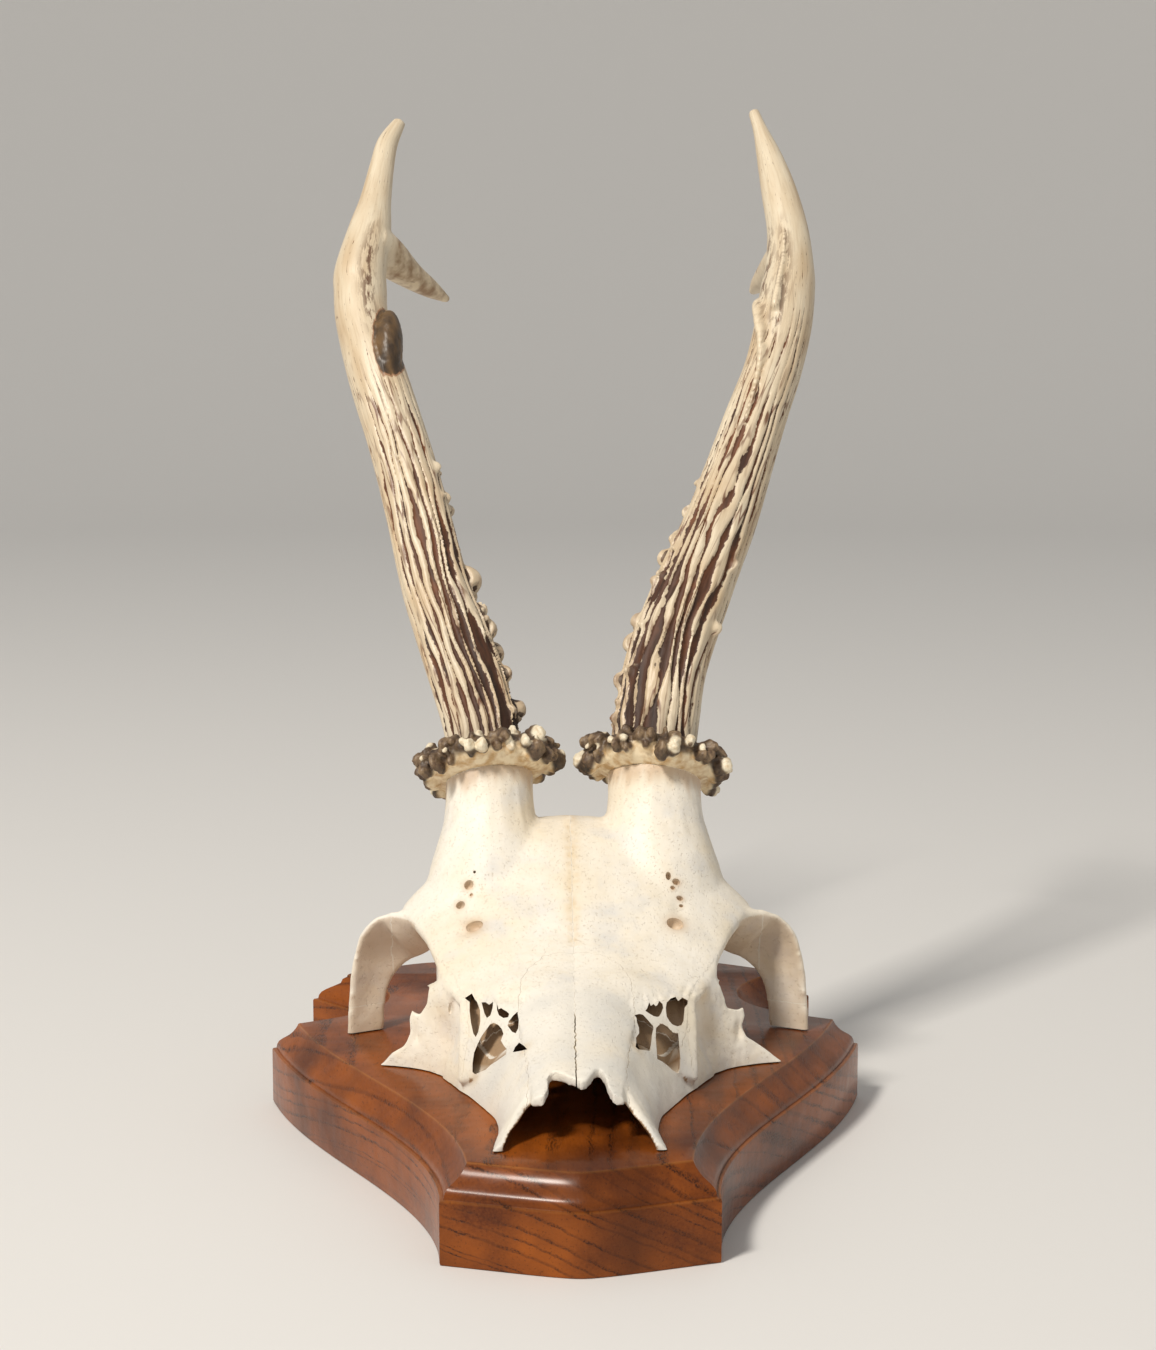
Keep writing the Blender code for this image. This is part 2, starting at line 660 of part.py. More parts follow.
def sort_pieces(whole, middles):
    """Turn a parted body into one object for each name, by the nearest middle, in mm."""
    bm = bmesh.new()
    bm.from_mesh(whole.data)
    best = {}
    for group in loose_groups(bm):
        size = group_size(group)
        middle = sum((vert.co for vert in group), Vector()) / len(group)
        name = min(middles, key=lambda key: (Vector(middles[key]) * MM - middle).length)
        if size > best.get(name, (0.0, None))[0]:
            best[name] = (size, {vert.index for vert in group})
    bm.free()
    pieces = {}
    for name, (size, kept) in best.items():
        piece = bmesh.new()
        piece.from_mesh(whole.data)
        spare = [vert for vert in piece.verts if vert.index not in kept]
        bmesh.ops.delete(piece, geom=spare, context="VERTS")
        pieces[name] = object_from(piece, name)
    bpy.data.objects.remove(whole, do_unlink=True)
    return pieces


def part_into_bones(mass):
    """Name the bones of the right half, and mirror each for the left."""
    for name, right in sort_pieces(mass, BONES).items():
        mesh = right.data.copy()
        mesh.transform(Matrix.Scale(-1, 4, Vector((1, 0, 0))))
        mesh.flip_normals()
        left = bpy.data.objects.new(name, mesh)
        PARTS.objects.link(left)
        for bone, side in ((left, "_left"), (right, "_right")):
            natural_skew(bone.data)
            finish(bone, name + side, BONE)


def coronet_place(side):
    """The centre of a coronet and the direction that it faces, over the top of its pedicle."""
    x = natural_x(CORONET_CENTRE.x * side, CORONET_CENTRE.y)
    centre = Vector((x, CORONET_CENTRE.y, CORONET_CENTRE.z))
    return centre, Vector((CORONET_AXIS.x * side, CORONET_AXIS.y, CORONET_AXIS.z))


def make_coronet(side, name, draw):
    """The knobbly ring at the foot of an antler: two uneven rows of knobs on a core."""
    centre, axis = coronet_place(side)
    turn = axis.to_track_quat("Z", "Y").to_matrix().to_4x4()
    bm = bmesh.new()
    bmesh.ops.create_cone(bm, cap_ends=True, segments=28, radius1=CORONET_RADIUS * 0.8,
                          radius2=CORONET_RADIUS, depth=CORONET_THICKNESS)
    bm.transform(Matrix.Translation(centre) @ turn)
    ring = object_from(bm, name)
    knobs = []
    for count, reach, lift in KNOB_ROWS:
        for k in range(count):
            angle = math.tau * (k + draw.uniform(-0.38, 0.38)) / count
            out = reach + draw.uniform(-0.9, 0.9)
            spot = Vector((out * math.cos(angle), out * math.sin(angle), lift + draw.uniform(-0.9, 0.7)))
            radii = (draw.uniform(2.3, 3.4), draw.uniform(1.8, 2.8), draw.uniform(1.7, 2.5))
            facing = turn @ Matrix.Rotation(angle + draw.uniform(-0.3, 0.3), 4, "Z")
            knobs.append(ellipsoid(centre / MM + turn.to_3x3() @ spot, radii, 6, 5, facing))
    fuse(ring, knobs)
    finish(ring, name, ANTLER_DARK, 0.55, 50.0)


def beam_point(stations, height):
    """The centre, width and direction of a beam at a height in mm."""
    rows = smooth_stations(stations, 4)
    k = min(range(len(rows) - 1), key=lambda index: abs(rows[index][2] - height))
    here = Vector(rows[k][:3])
    return here, rows[k][3], (Vector(rows[k + 1][:3]) - here).normalized()


def make_pearls(stations, side, large, draw):
    """Blunt knobs on a beam: the large ones in their places, and small ones strewn at the rear."""
    places = list(large)
    for k in range(REAR_PEARL_COUNT):
        share = (k + draw.random()) / REAR_PEARL_COUNT
        height = LOWEST_PEARL + PEARLED_LENGTH * share ** 1.4
        places.append((height, draw.uniform(45, 145), draw.choice(REAR_PEARL_SIZES) * (1.0 - 0.3 * share)))
    pearls = []
    for height, degrees, size in places:
        centre, width, axis = beam_point(stations, height)
        inward = Vector((-side, 0, 0))
        across = (inward - axis * inward.dot(axis)).normalized()
        rear = axis.cross(across) * -side
        angle = math.radians(degrees)
        out = across * math.cos(angle) + rear * math.sin(angle)
        turn = out.to_track_quat("X", "Z").to_matrix().to_4x4()
        pearls.append(ellipsoid(centre + out * width / 2, (size, size * 0.75, size * 1.15), 6, 5, turn))
    return pearls


def make_front_stub(spec):
    centre, size, tilt = spec
    turn = Matrix.Rotation(math.radians(tilt), 4, "X")
    return ellipsoid(centre, [s / 2 for s in size], 12, 9, turn)


def make_antler(side, label, beam, tip, tine, stub, pearls, draw):
    """One antler above its coronet, split at the fork into beam, tip and rear tine."""
    antler = object_from(tube(beam + tip, BEAM_SIDES, 2, RIB_COUNT, RIB_DEPTH), "antler")
    rear = object_from(tube(tine, 12, 2), "tine", CUTTERS)
    fuse(antler, make_pearls(beam, side, pearls, draw) + [make_front_stub(stub), rear])
    # The foot is cut flat, just above the coronet.
    foot, axis = coronet_place(side)
    reach = CORONET_THICKNESS / 2 + GAP - 20 * MM
    cut(antler, disc(foot + axis * reach, axis, 40 * MM, 40 * MM), "MANIFOLD")
    keep_largest(antler)
    fork = Vector(beam[-1][:3])
    onward = (Vector(tip[0][:3]) - fork).normalized()
    cut(antler, disc(fork * MM, onward, 9.5 * MM, GAP), "MANIFOLD")
    root = Vector(tine[1][:3])
    run = (Vector(tine[2][:3]) - Vector(tine[0][:3])).normalized()
    cut(antler, disc(root * MM, run, 6.5 * MM, GAP), "MANIFOLD")
    middles = {
        "antler_beam_" + label: beam[len(beam) // 2][:3],
        "antler_tip_" + label: tip[2][:3],
        "rear_tine_" + label: tine[-2][:3],
    }
    for name, piece in sort_pieces(antler, middles).items():
        colour, roughness = (ANTLER, 0.45) if "beam" in name else (ANTLER_PALE, 0.35)
        finish(piece, name, colour, roughness, 50.0)


def main():
    make_shield()
    make_skull()
    draw = random.Random(7)
    make_coronet(-1, "coronet_left", draw)
    make_coronet(1, "coronet_right", draw)
    make_antler(-1, "left", LEFT_BEAM, LEFT_TIP, LEFT_REAR_TINE, LEFT_FRONT_STUB, LEFT_PEARLS, draw)
    make_antler(1, "right", RIGHT_BEAM, RIGHT_TIP, RIGHT_REAR_TINE, RIGHT_FRONT_STUB, RIGHT_PEARLS, draw)


main()
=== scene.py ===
"""The looks of a roe deer skull cap with its antlers on an oak shield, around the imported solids.

Shapes are worked out in millimetres in the frame of the solids: +Z up, the nose towards -Y, and
the origin under the middle of the shield. Left and right are as seen from the front.
"""
import math
import random

import bmesh
import bpy
import numpy as np
from mathutils import Matrix, Vector


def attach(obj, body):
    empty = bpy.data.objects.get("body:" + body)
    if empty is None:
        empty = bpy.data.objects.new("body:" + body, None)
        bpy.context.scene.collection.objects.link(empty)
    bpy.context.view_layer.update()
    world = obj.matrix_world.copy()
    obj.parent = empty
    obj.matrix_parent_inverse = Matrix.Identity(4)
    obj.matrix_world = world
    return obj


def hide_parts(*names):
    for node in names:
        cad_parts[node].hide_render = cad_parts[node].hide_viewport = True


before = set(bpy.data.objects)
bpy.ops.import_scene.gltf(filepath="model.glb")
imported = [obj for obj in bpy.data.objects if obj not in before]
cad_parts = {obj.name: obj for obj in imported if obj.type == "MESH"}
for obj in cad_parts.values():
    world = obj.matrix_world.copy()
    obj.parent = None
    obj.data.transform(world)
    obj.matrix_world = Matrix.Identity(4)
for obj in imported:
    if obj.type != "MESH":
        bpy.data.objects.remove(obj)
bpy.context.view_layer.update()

MM = 0.001
PHOTO_WIDTH = 1156
PHOTO_HEIGHT = 1350
FOCAL_PIXELS = 2750.0
CAMERA_PLACE = (-14.1, -533.7, 166.0)
CAMERA_PITCH = 7.77
CAMERA_YAW = 1.7

SHIELD_TOP = 17.5
BONE_BASE = SHIELD_TOP + 0.3
BONE_VOXEL = 0.42
ANTLER_VOXEL = 0.34
CORONET_VOXEL = 0.3
SUTURE_WIDTH = 0.03


# Plain geometry


def smooth_rows(stations, steps):
    """Rows read from a smooth curve through stations, with some steps between each pair."""
    rows = np.array(stations, float)
    ends = np.vstack([rows[:1], rows, rows[-1:]])
    made = []
    for before, start, end, after in zip(ends, ends[1:], ends[2:], ends[3:]):
        slope = (end - before) / 2
        next_slope = (after - start) / 2
        rise = 2 * (start - end) + slope + next_slope
        sag = -3 * (start - end) - 2 * slope - next_slope
        for step in range(steps):
            t = step / steps
            made.append(((rise * t + sag) * t + slope) * t + start)
    made.append(rows[-1])
    return np.array(made)


def bezier(start, first, second, end, count):
    """Points along a Bezier curve, without its end."""
    t = np.arange(count)[:, None] / count
    corners = np.array([start, first, second, end], float)
    weights = np.hstack([(1 - t) ** 3, 3 * (1 - t) ** 2 * t, 3 * (1 - t) * t * t, t ** 3])
    return weights @ corners


def unit(vectors):
    return vectors / np.maximum(np.linalg.norm(vectors, axis=-1, keepdims=True), 1e-9)


def smooth_step(low, high, values):
    t = np.clip((values - low) / (high - low), 0.0, 1.0)
    return t * t * (3 - 2 * t)


def near(points, centre, radius):
    """How close each point is to a centre: 1 there, and fading over the radius."""
    return np.exp(-np.sum((points - np.array(centre)) ** 2, axis=1) / radius ** 2)


def noise(points, seed):
    """Smooth noise from about -1 to 1, with one bump to each unit of length."""
    cell = np.floor(points).astype(np.int64)
    within = points - cell
    fade = within ** 3 * (within * (within * 6 - 15) + 10)
    total = np.zeros(len(points))
    for corner in ((i, j, k) for i in (0, 1) for j in (0, 1) for k in (0, 1)):
        grid = cell + np.array(corner)
        key = grid[:, 0] * 73856093 ^ grid[:, 1] * 19349663 ^ grid[:, 2] * 83492791 ^ (seed * 7919 + 13)
        key = ((key ^ (key >> 13)) * 1274126177) & 0x7FFFFFFF
        key = key ^ (key >> 15)
        slope = np.stack([(key >> shift & 1023) / 511.5 - 1 for shift in (0, 8, 16)], axis=1)
        weight = np.prod(np.where(np.array(corner), fade, 1 - fade), axis=1)
        total += weight * np.sum(slope * (within - np.array(corner)), axis=1)
    return total * 1.7


class Shape:
    """Closed surfaces as one list of points in mm and one list of faces."""

    def __init__(self):
        self.points = []
        self.faces = []
        self.count = 0

    def add(self, points, faces):
        self.points.append(np.array(points, float))
        self.faces += [tuple(int(k) + self.count for k in face) for face in faces]
        self.count += len(points)

    def loft(self, rings):
        """Join rings of equally many points, with a flat face on each end."""
        rings = np.array(rings, float)
        rows, sides = rings.shape[:2]
        grid = np.arange(rows * sides).reshape(rows, sides)
        turned = np.roll(grid, -1, axis=1)
        quads = np.stack([grid[:-1], turned[:-1], turned[1:], grid[1:]], axis=-1).reshape(-1, 4)
        faces = quads.tolist() + [grid[0, ::-1].tolist(), grid[-1].tolist()]
        self.add(rings.reshape(-1, 3), faces)

    def lump(self, centre, radii, axes=None, sides=16, rings=10):
        """A rounded lump, turned so that its own X, Y and Z lie along three axes."""
        axes = np.eye(3) if axes is None else np.array(axes)
        rows = []
        for k in range(rings + 1):
            lift = -math.cos(math.pi * min(max(k, 0.15), rings - 0.15) / rings)
            wide = math.sqrt(1 - lift * lift)
            turn = np.arange(sides) * math.tau / sides
            ring = np.stack([np.cos(turn) * wide, np.sin(turn) * wide, np.full(sides, lift)], axis=1)
            rows.append((ring * np.array(radii)) @ axes + np.array(centre))
        self.loft(rows)

    def mirrored(self, other):
        """Take in another shape, mirrored to the left."""
        self.add(np.vstack(other.points) * (-1, 1, 1), [face[::-1] for face in other.faces])

    def take(self, other):
        self.add(np.vstack(other.points), other.faces)

    def to_object(self, name):
        mesh = bpy.data.meshes.new(name)
        mesh.from_pydata((np.vstack(self.points) * MM).tolist(), [], self.faces)
        mesh.update()
        bm = bmesh.new()
        bm.from_mesh(mesh)
        bmesh.ops.recalc_face_normals(bm, faces=bm.faces)
        bm.to_mesh(mesh)
        bm.free()
        item = bpy.data.objects.new(name, mesh)
        bpy.context.scene.collection.objects.link(item)
        return item


def apply_modifiers(item):
    graph = bpy.context.evaluated_depsgraph_get()
    mesh = bpy.data.meshes.new_from_object(item.evaluated_get(graph))
    item.modifiers.clear()
    item.data = mesh


def skin_over(item, voxel):
    """Melt overlapping closed surfaces into one even skin."""
    remesh = item.modifiers.new("skin", "REMESH")
    remesh.mode = "VOXEL"
    remesh.voxel_size = voxel * MM
    apply_modifiers(item)


def points_of(item):
    values = np.empty(len(item.data.vertices) * 3)
    item.data.vertices.foreach_get("co", values)
    return values.reshape(-1, 3) / MM


def set_points(item, points):
    item.data.vertices.foreach_set("co", (points * MM).ravel())
    item.data.update()


def normals_of(item):
    values = np.empty(len(item.data.vertices) * 3)
    item.data.vertex_normals.foreach_get("vector", values)
    return values.reshape(-1, 3)


def soften(item, rounds, hold=None):
    """Even out a skin; hold, from 0 to 1 at each point, keeps crisp what must stay crisp."""
    edges = np.empty(len(item.data.edges) * 2, np.int64)
    item.data.edges.foreach_get("vertices", edges)
    first, second = edges.reshape(-1, 2).T
    points = points_of(item)
    size = len(points)
    ties = np.bincount(first, minlength=size) + np.bincount(second, minlength=size)
    give = np.full(size, 0.5) if hold is None else 0.5 * (1 - hold)
    for _ in range(rounds):
        pull = np.stack([
            np.bincount(first, points[second, k], size) + np.bincount(second, points[first, k], size)
            for k in range(3)], axis=1)
        points += (pull / ties[:, None] - points) * give[:, None]
    set_points(item, points)


def store(item, name, values):
    """Keep a value at each point for a material to read."""
    kind = "FLOAT" if values.ndim == 1 else "FLOAT_VECTOR"
    attribute = item.data.attributes.new(name, kind, "POINT")
    attribute.data.foreach_set("value" if values.ndim == 1 else "vector", values.astype(np.float32).ravel())


def carve(item, cutter):
    boolean = item.modifiers.new("carve", "BOOLEAN")
    boolean.operation = "DIFFERENCE"
    boolean.solver = "MANIFOLD"
    boolean.object = cutter
    apply_modifiers(item)
    bpy.data.objects.remove(cutter, do_unlink=True)


def upright_cutter(outline, low=10.0, high=90.0):
    """A cutter with an outline drawn from above."""
    shape = Shape()
    outline = np.array(outline, float)
    shape.loft([np.column_stack([outline, np.full(len(outline), height)]) for height in (low, high)])
    return shape.to_object("cutter")


def window_cutter(outline, front, rear):
    """A cutter that leans down into the skull, from before an outline on its surface to behind it."""
    shape = Shape()
    lean = np.array((0.0, 1.0, -0.27))
    shape.loft([np.array(outline, float) + lean * reach for reach in (front, rear)])
    return shape.to_object("cutter")


def loose_parts(item):
    """The points of each separate surface of a mesh."""
    edges = np.empty(len(item.data.edges) * 2, np.int64)
    item.data.edges.foreach_get("vertices", edges)
    first, second = edges.reshape(-1, 2).T
    label = np.arange(len(item.data.vertices))
    while True:
        low = np.minimum(label[first], label[second])
        fresh = label.copy()
        np.minimum.at(fresh, first, low)
        np.minimum.at(fresh, second, low)
        fresh = fresh[fresh]
        if np.array_equal(fresh, label):
            break
        label = fresh
    return label


def piece_of(item, keep, name):
    """A new object from the points of another that are kept."""
    bm = bmesh.new()
    bm.from_mesh(item.data)
    bm.verts.ensure_lookup_table()
    bmesh.ops.delete(bm, geom=[bm.verts[int(k)] for k in np.flatnonzero(~keep)], context="VERTS")
    mesh = bpy.data.meshes.new(name)
    bm.to_mesh(mesh)
    bm.free()
    piece = bpy.data.objects.new(name, mesh)
    bpy.context.scene.collection.objects.link(piece)
    return piece


def dress(piece, material, nodes, sharp):
    """Give a piece its finish, its body and the solids that it stands for."""
    piece.data.materials.clear()
    piece.data.materials.append(material)
    piece.data.shade_smooth()
    piece.data.set_sharp_from_angle(angle=math.radians(sharp))
    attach(piece, "root")
    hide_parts(*nodes)


# Materials


def srgb(code):
    """A hex colour as linear light, with full cover."""
    values = [int(code[k:k + 2], 16) / 255 for k in (1, 3, 5)]
    return (*[v / 12.92 if v <= 0.04045 else ((v + 0.055) / 1.055) ** 2.4 for v in values], 1.0)


def add_node(tree, kind, settings=None, inputs=(), ramp=None, output=0):
    """Add a shader node with its settings, link or set its inputs, and give back one output."""
    node = tree.nodes.new("ShaderNode" + kind)
    for name, value in (settings or {}).items():
        setattr(node, name, value)
    named = inputs if isinstance(inputs, dict) else dict(enumerate(inputs))
    for name, value in named.items():
        if isinstance(value, bpy.types.NodeSocket):
            tree.links.new(value, node.inputs[name])
        else:
            node.inputs[name].default_value = value
    if ramp:
        stops = node.color_ramp.elements
        while len(stops) < len(ramp):
            stops.new(0.5)
        for stop, (position, shade) in zip(stops, ramp):
            stop.position = position
            stop.color = (shade, shade, shade, 1.0)
    return node.outputs[output]


def new_material(name, roughness, ior=1.5, extra=None):
    """A material with a Principled shader; extra holds its other fixed values."""
    material = bpy.data.materials.new(name)
    material.use_nodes = True
    shader = material.node_tree.nodes["Principled BSDF"]
    shader.inputs["Roughness"].default_value = roughness
    shader.inputs["IOR"].default_value = ior
    for socket, value in (extra or {}).items():
        shader.inputs[socket].default_value = value
    return material, material.node_tree, shader


def millimetres(tree, stretch=(1.0, 1.0, 1.0)):
    """The piece's own coordinates in mm, drawn out along an axis where stretch is over 1."""
    place = add_node(tree, "TexCoord", output="Object")
    return add_node(tree, "Mapping", inputs={"Vector": place, "Scale": [1 / MM / s for s in stretch]})


def mottle(tree, vector, size, detail=2.0, stops=((0.35, 0.0), (0.65, 1.0)), roughness=0.5):
    """Noise with patches of a size in mm, spread to the range between two stops."""
    cloud = add_node(tree, "TexNoise", inputs={
        "Vector": vector, "Scale": 1 / size, "Detail": detail, "Roughness": roughness})
    return add_node(tree, "ValToRGB", inputs={"Fac": cloud}, ramp=stops)


# Places of the sockets on a Mix node that mixes colours.
MIX_SHARE, MIX_FIRST, MIX_SECOND, MIX_RESULT = 0, 6, 7, 2


def paint(tree, colour, layers):
    """Lay colours over a first one. A layer names its shares, which are multiplied, then its colour."""
    for *shares, cover in layers:
        share = shares[0]
        for other in shares[1:]:
            share = add_node(tree, "Math", {"operation": "MULTIPLY"}, (share, other))
        colour = add_node(tree, "Mix", {"data_type": "RGBA"}, {
            MIX_SHARE: share,
            MIX_FIRST: srgb(colour) if isinstance(colour, str) else colour,
            MIX_SECOND: srgb(cover) if isinstance(cover, str) else cover}, output=MIX_RESULT)
    return colour


def emboss(tree, shader, layers):
    """Lay reliefs over one another, each with a height from 0 to 1 and a depth in mm."""
    below = {}
    for height, depth in layers:
        normal = add_node(tree, "Bump", inputs={
            "Height": height, "Distance": depth * MM, "Strength": 1.0, **below})
        below = {"Normal": normal}
    tree.links.new(normal, shader.inputs["Normal"])


def bleached_bone():
    """Compact bone, boiled and bleached: chalky ivory, yellow where fat stayed in, greyish
    where it is thin, with pores like pin pricks."""
    material, tree, shader = new_material("bleached_bone", 0.5, 1.5)
    place = millimetres(tree)
    cool, fat, tan, hollow = [
        add_node(tree, "Attribute", {"attribute_name": name}, output="Fac")
        for name in ("cool", "fat", "tan", "hollow")]
    pores = mottle(tree, place, 0.5, 1.0, ((0.64, 0.0), (0.70, 1.0)))
    colour = paint(tree, "#F1EBDF", [
        (mottle(tree, place, 15.0, 3.0, ((0.38, 0.0), (0.68, 0.9))), "#E9DDC6"),
        (mottle(tree, place, 8.0, 3.0, ((0.52, 0.0), (0.72, 0.75))), "#DCDAD6"),
        (mottle(tree, place, 1.5, 4.0, ((0.5, 0.0), (0.8, 0.25))), "#DCCDAE"),
        (pores, mottle(tree, place, 6.0, 2.0, ((0.42, 0.0), (0.66, 1.0))), 0.22, "#B39C76"),
        (cool, "#DEDBD3"),
        (fat, "#D2AC66"),
        # tan is a real stain under the coronets, and painted shade on the eye sockets' inner faces and inside
        # the vessel holes
        (tan, "#B58A55"),
        # painted shade: brown inside the nose and on the wall behind the lattice
        (hollow, "#967349")])
    tree.links.new(colour, shader.inputs["Base Color"])
    fine = add_node(tree, "TexNoise", inputs={"Vector": place, "Scale": 1 / 0.9, "Detail": 4.0})
    pits = add_node(tree, "Math", {"operation": "MULTIPLY"}, (pores, -1.0))
    emboss(tree, shader, [(fine, 0.05), (pits, 0.06)])
    return material


def pearled_antler():
    """Hard antler: ivory ribs polished by rubbing, with plant juice dried red-brown to black
    between them, and bare cream where it is smooth."""
    material, tree, shader = new_material("pearled_antler", 0.48, 1.54)
    place = millimetres(tree)
    run = add_node(tree, "Attribute", {"attribute_name": "run"}, output="Vector")
    streaks, specks, grain = [
        add_node(tree, "Mapping", inputs={"Vector": run, "Scale": (1.0, 1.0, along)})
        for along in (0.1, 0.3, 0.4)]
    dark, rough, stain, tine, phase, width, tip, stub = [
        add_node(tree, "Attribute", {"attribute_name": name}, output="Fac")
        for name in ("dark", "rough", "stain", "tine", "phase", "width", "tip", "stub")]
    # Hair lines of juice where the ribs begin, and stains and specks above them.
    line = mottle(tree, streaks, 1.5, 1.0, ((0.455, 0.0), (0.485, 1.0), (0.515, 1.0), (0.545, 0.0)))
    faint = add_node(tree, "ValToRGB", inputs={"Fac": rough}, ramp=((0.0, 0.0), (0.2, 0.9)))
    stain = add_node(tree, "Math", {"operation": "POWER"}, (stain, 0.6))
    bare = paint(tree, "#D9C7A8", [
        (mottle(tree, place, 2.6, 4.0, ((0.38, 0.0), (0.66, 0.95))), "#91704C")])
    rib = paint(tree, "#E0D3BA", [
        (mottle(tree, grain, 7.0, 3.0, ((0.38, 0.0), (0.68, 0.9))), "#CAB290"),
        (mottle(tree, streaks, 0.9, 3.0, ((0.50, 0.0), (0.72, 0.3))), "#A98F6C"),
        (dark, 0.2, "#B08C60"),
        (line, faint, mottle(tree, grain, 3.0, 2.0), "#6A3E24"),
        (stain, mottle(tree, specks, 1.1, 4.0, ((0.47, 0.0), (0.56, 0.9)), 0.65), "#62402A"),
        (tine, bare)])
    juice = paint(tree, "#70401F", [
        (mottle(tree, streaks, 1.8, 3.0, ((0.35, 0.0), (0.65, 1.0))), "#3E2415"),
        (mottle(tree, grain, 3.2, 3.0, ((0.58, 0.0), (0.72, 0.7))), "#94582E"),
        (dark, 0.85, "#261710")])
    # A furrow lies where the phase is near a whole number, and its edge is ragged.
    whole = add_node(tree, "Math", {"operation": "ROUND"}, (phase,))
    valley = add_node(tree, "Math", {"operation": "SUBTRACT"}, (phase, whole))
    valley = add_node(tree, "Math", {"operation": "ABSOLUTE"}, (valley,))
    inside = add_node(tree, "Math", {"operation": "SUBTRACT"}, (width, valley))
    ragged = mottle(tree, grain, 0.6, 3.0, ((0.25, 0.0), (0.75, 1.0)))
    ragged = add_node(tree, "Math", {"operation": "MULTIPLY"}, (ragged, 0.16))
    ragged = add_node(tree, "Math", {"operation": "ADD"}, (inside, ragged))
    furrow = add_node(tree, "ValToRGB", inputs={"Fac": ragged}, ramp=((0.085, 0.0), (0.125, 1.0)))
    pearl = paint(tree, "#E4D4B8", [
        (dark, mottle(tree, place, 2.2, 2.0, ((0.35, 0.2), (0.65, 1.0))), "#80573A")])
    # The hood over a worn front tine is dark, with a red-brown rim.
    hood = paint(tree, "#3C2E20", [
        (mottle(tree, grain, 2.2, 3.0, ((0.35, 0.0), (0.68, 1.0))), "#735837")])
    hooded = mottle(tree, grain, 0.9, 3.0, ((0.25, 0.0), (0.75, 1.0)))
    hooded = add_node(tree, "Math", {"operation": "SUBTRACT"}, (hooded, 0.5))
    hooded = add_node(tree, "Math", {"operation": "MULTIPLY"}, (hooded, 0.5))
    hooded = add_node(tree, "Math", {"operation": "ADD"}, (stub, hooded))
    rim, core = [
        add_node(tree, "ValToRGB", inputs={"Fac": hooded}, ramp=stops)
        for stops in (((0.26, 0.0), (0.36, 0.7), (0.5, 0.75)), ((0.5, 0.0), (0.6, 1.0)))]
    colour = paint(tree, rib, [(furrow, juice), (tip, pearl), (rim, "#8A5228"), (core, hood)])
    tree.links.new(colour, shader.inputs["Base Color"])
    dull = add_node(tree, "Math", {"operation": "MULTIPLY"}, (furrow, 0.2))
    dull = add_node(tree, "Math", {"operation": "ADD"}, (dull, 0.42))
    tree.links.new(dull, shader.inputs["Roughness"])
    fine = add_node(tree, "TexNoise", inputs={"Vector": streaks, "Scale": 1 / 0.35, "Detail": 4.0})
    emboss(tree, shader, [(fine, 0.08)])
    return material


def coronet_antler():
    """The burr of the antler: nearly black in its clefts, its knobs worn paler and to ivory at their ends,
    and these pale ends are also painted highlights.
    """
    material, tree, shader = new_material("coronet_antler", 0.5, 1.54)
    place = millimetres(tree)
    drawn = add_node(tree, "Mapping", inputs={"Vector": place, "Scale": (1.0, 1.0, 0.6)})
    worn_and_highlit, under, tip = [
        add_node(tree, "Attribute", {"attribute_name": name}, output="Fac")
        for name in ("worn_and_highlit", "under", "tip")]
    rubbed_and_highlit = paint(tree, "#BA9E7A", [
        (mottle(tree, drawn, 1.1, 3.0, ((0.35, 0.0), (0.65, 1.0))), "#634A36")])
    cream = paint(tree, "#F0DFBE", [
        (mottle(tree, place, 2.2, 3.0, ((0.4, 0.0), (0.65, 1.0))), "#C6A474")])
    ivory = paint(tree, "#EADFC6", [
        (mottle(tree, place, 0.9, 2.0, ((0.45, 0.0), (0.7, 0.6))), "#C9AE86")])
    colour = paint(tree, "#1C120C", [
        (mottle(tree, place, 1.8, 3.0, ((0.35, 0.0), (0.7, 1.0))), "#4C3828"),
        (mottle(tree, place, 0.8, 3.0, ((0.56, 0.0), (0.78, 0.6))), "#8A6C4C"),
        # the paler knob ends and their ivory tips are partly real wear and partly painted highlight
        (worn_and_highlit, rubbed_and_highlit),
        (under, cream),
        (tip, ivory)])
    tree.links.new(colour, shader.inputs["Base Color"])
    fine = add_node(tree, "TexNoise", inputs={"Vector": place, "Scale": 1 / 0.5, "Detail": 4.0})
    emboss(tree, shader, [(fine, 0.12)])
    return material


# The oak's growth rings: their centre below the shield, and their width.
RING_CENTRE = (-31.0, -72.0)
RING_WIDTH = 2.3


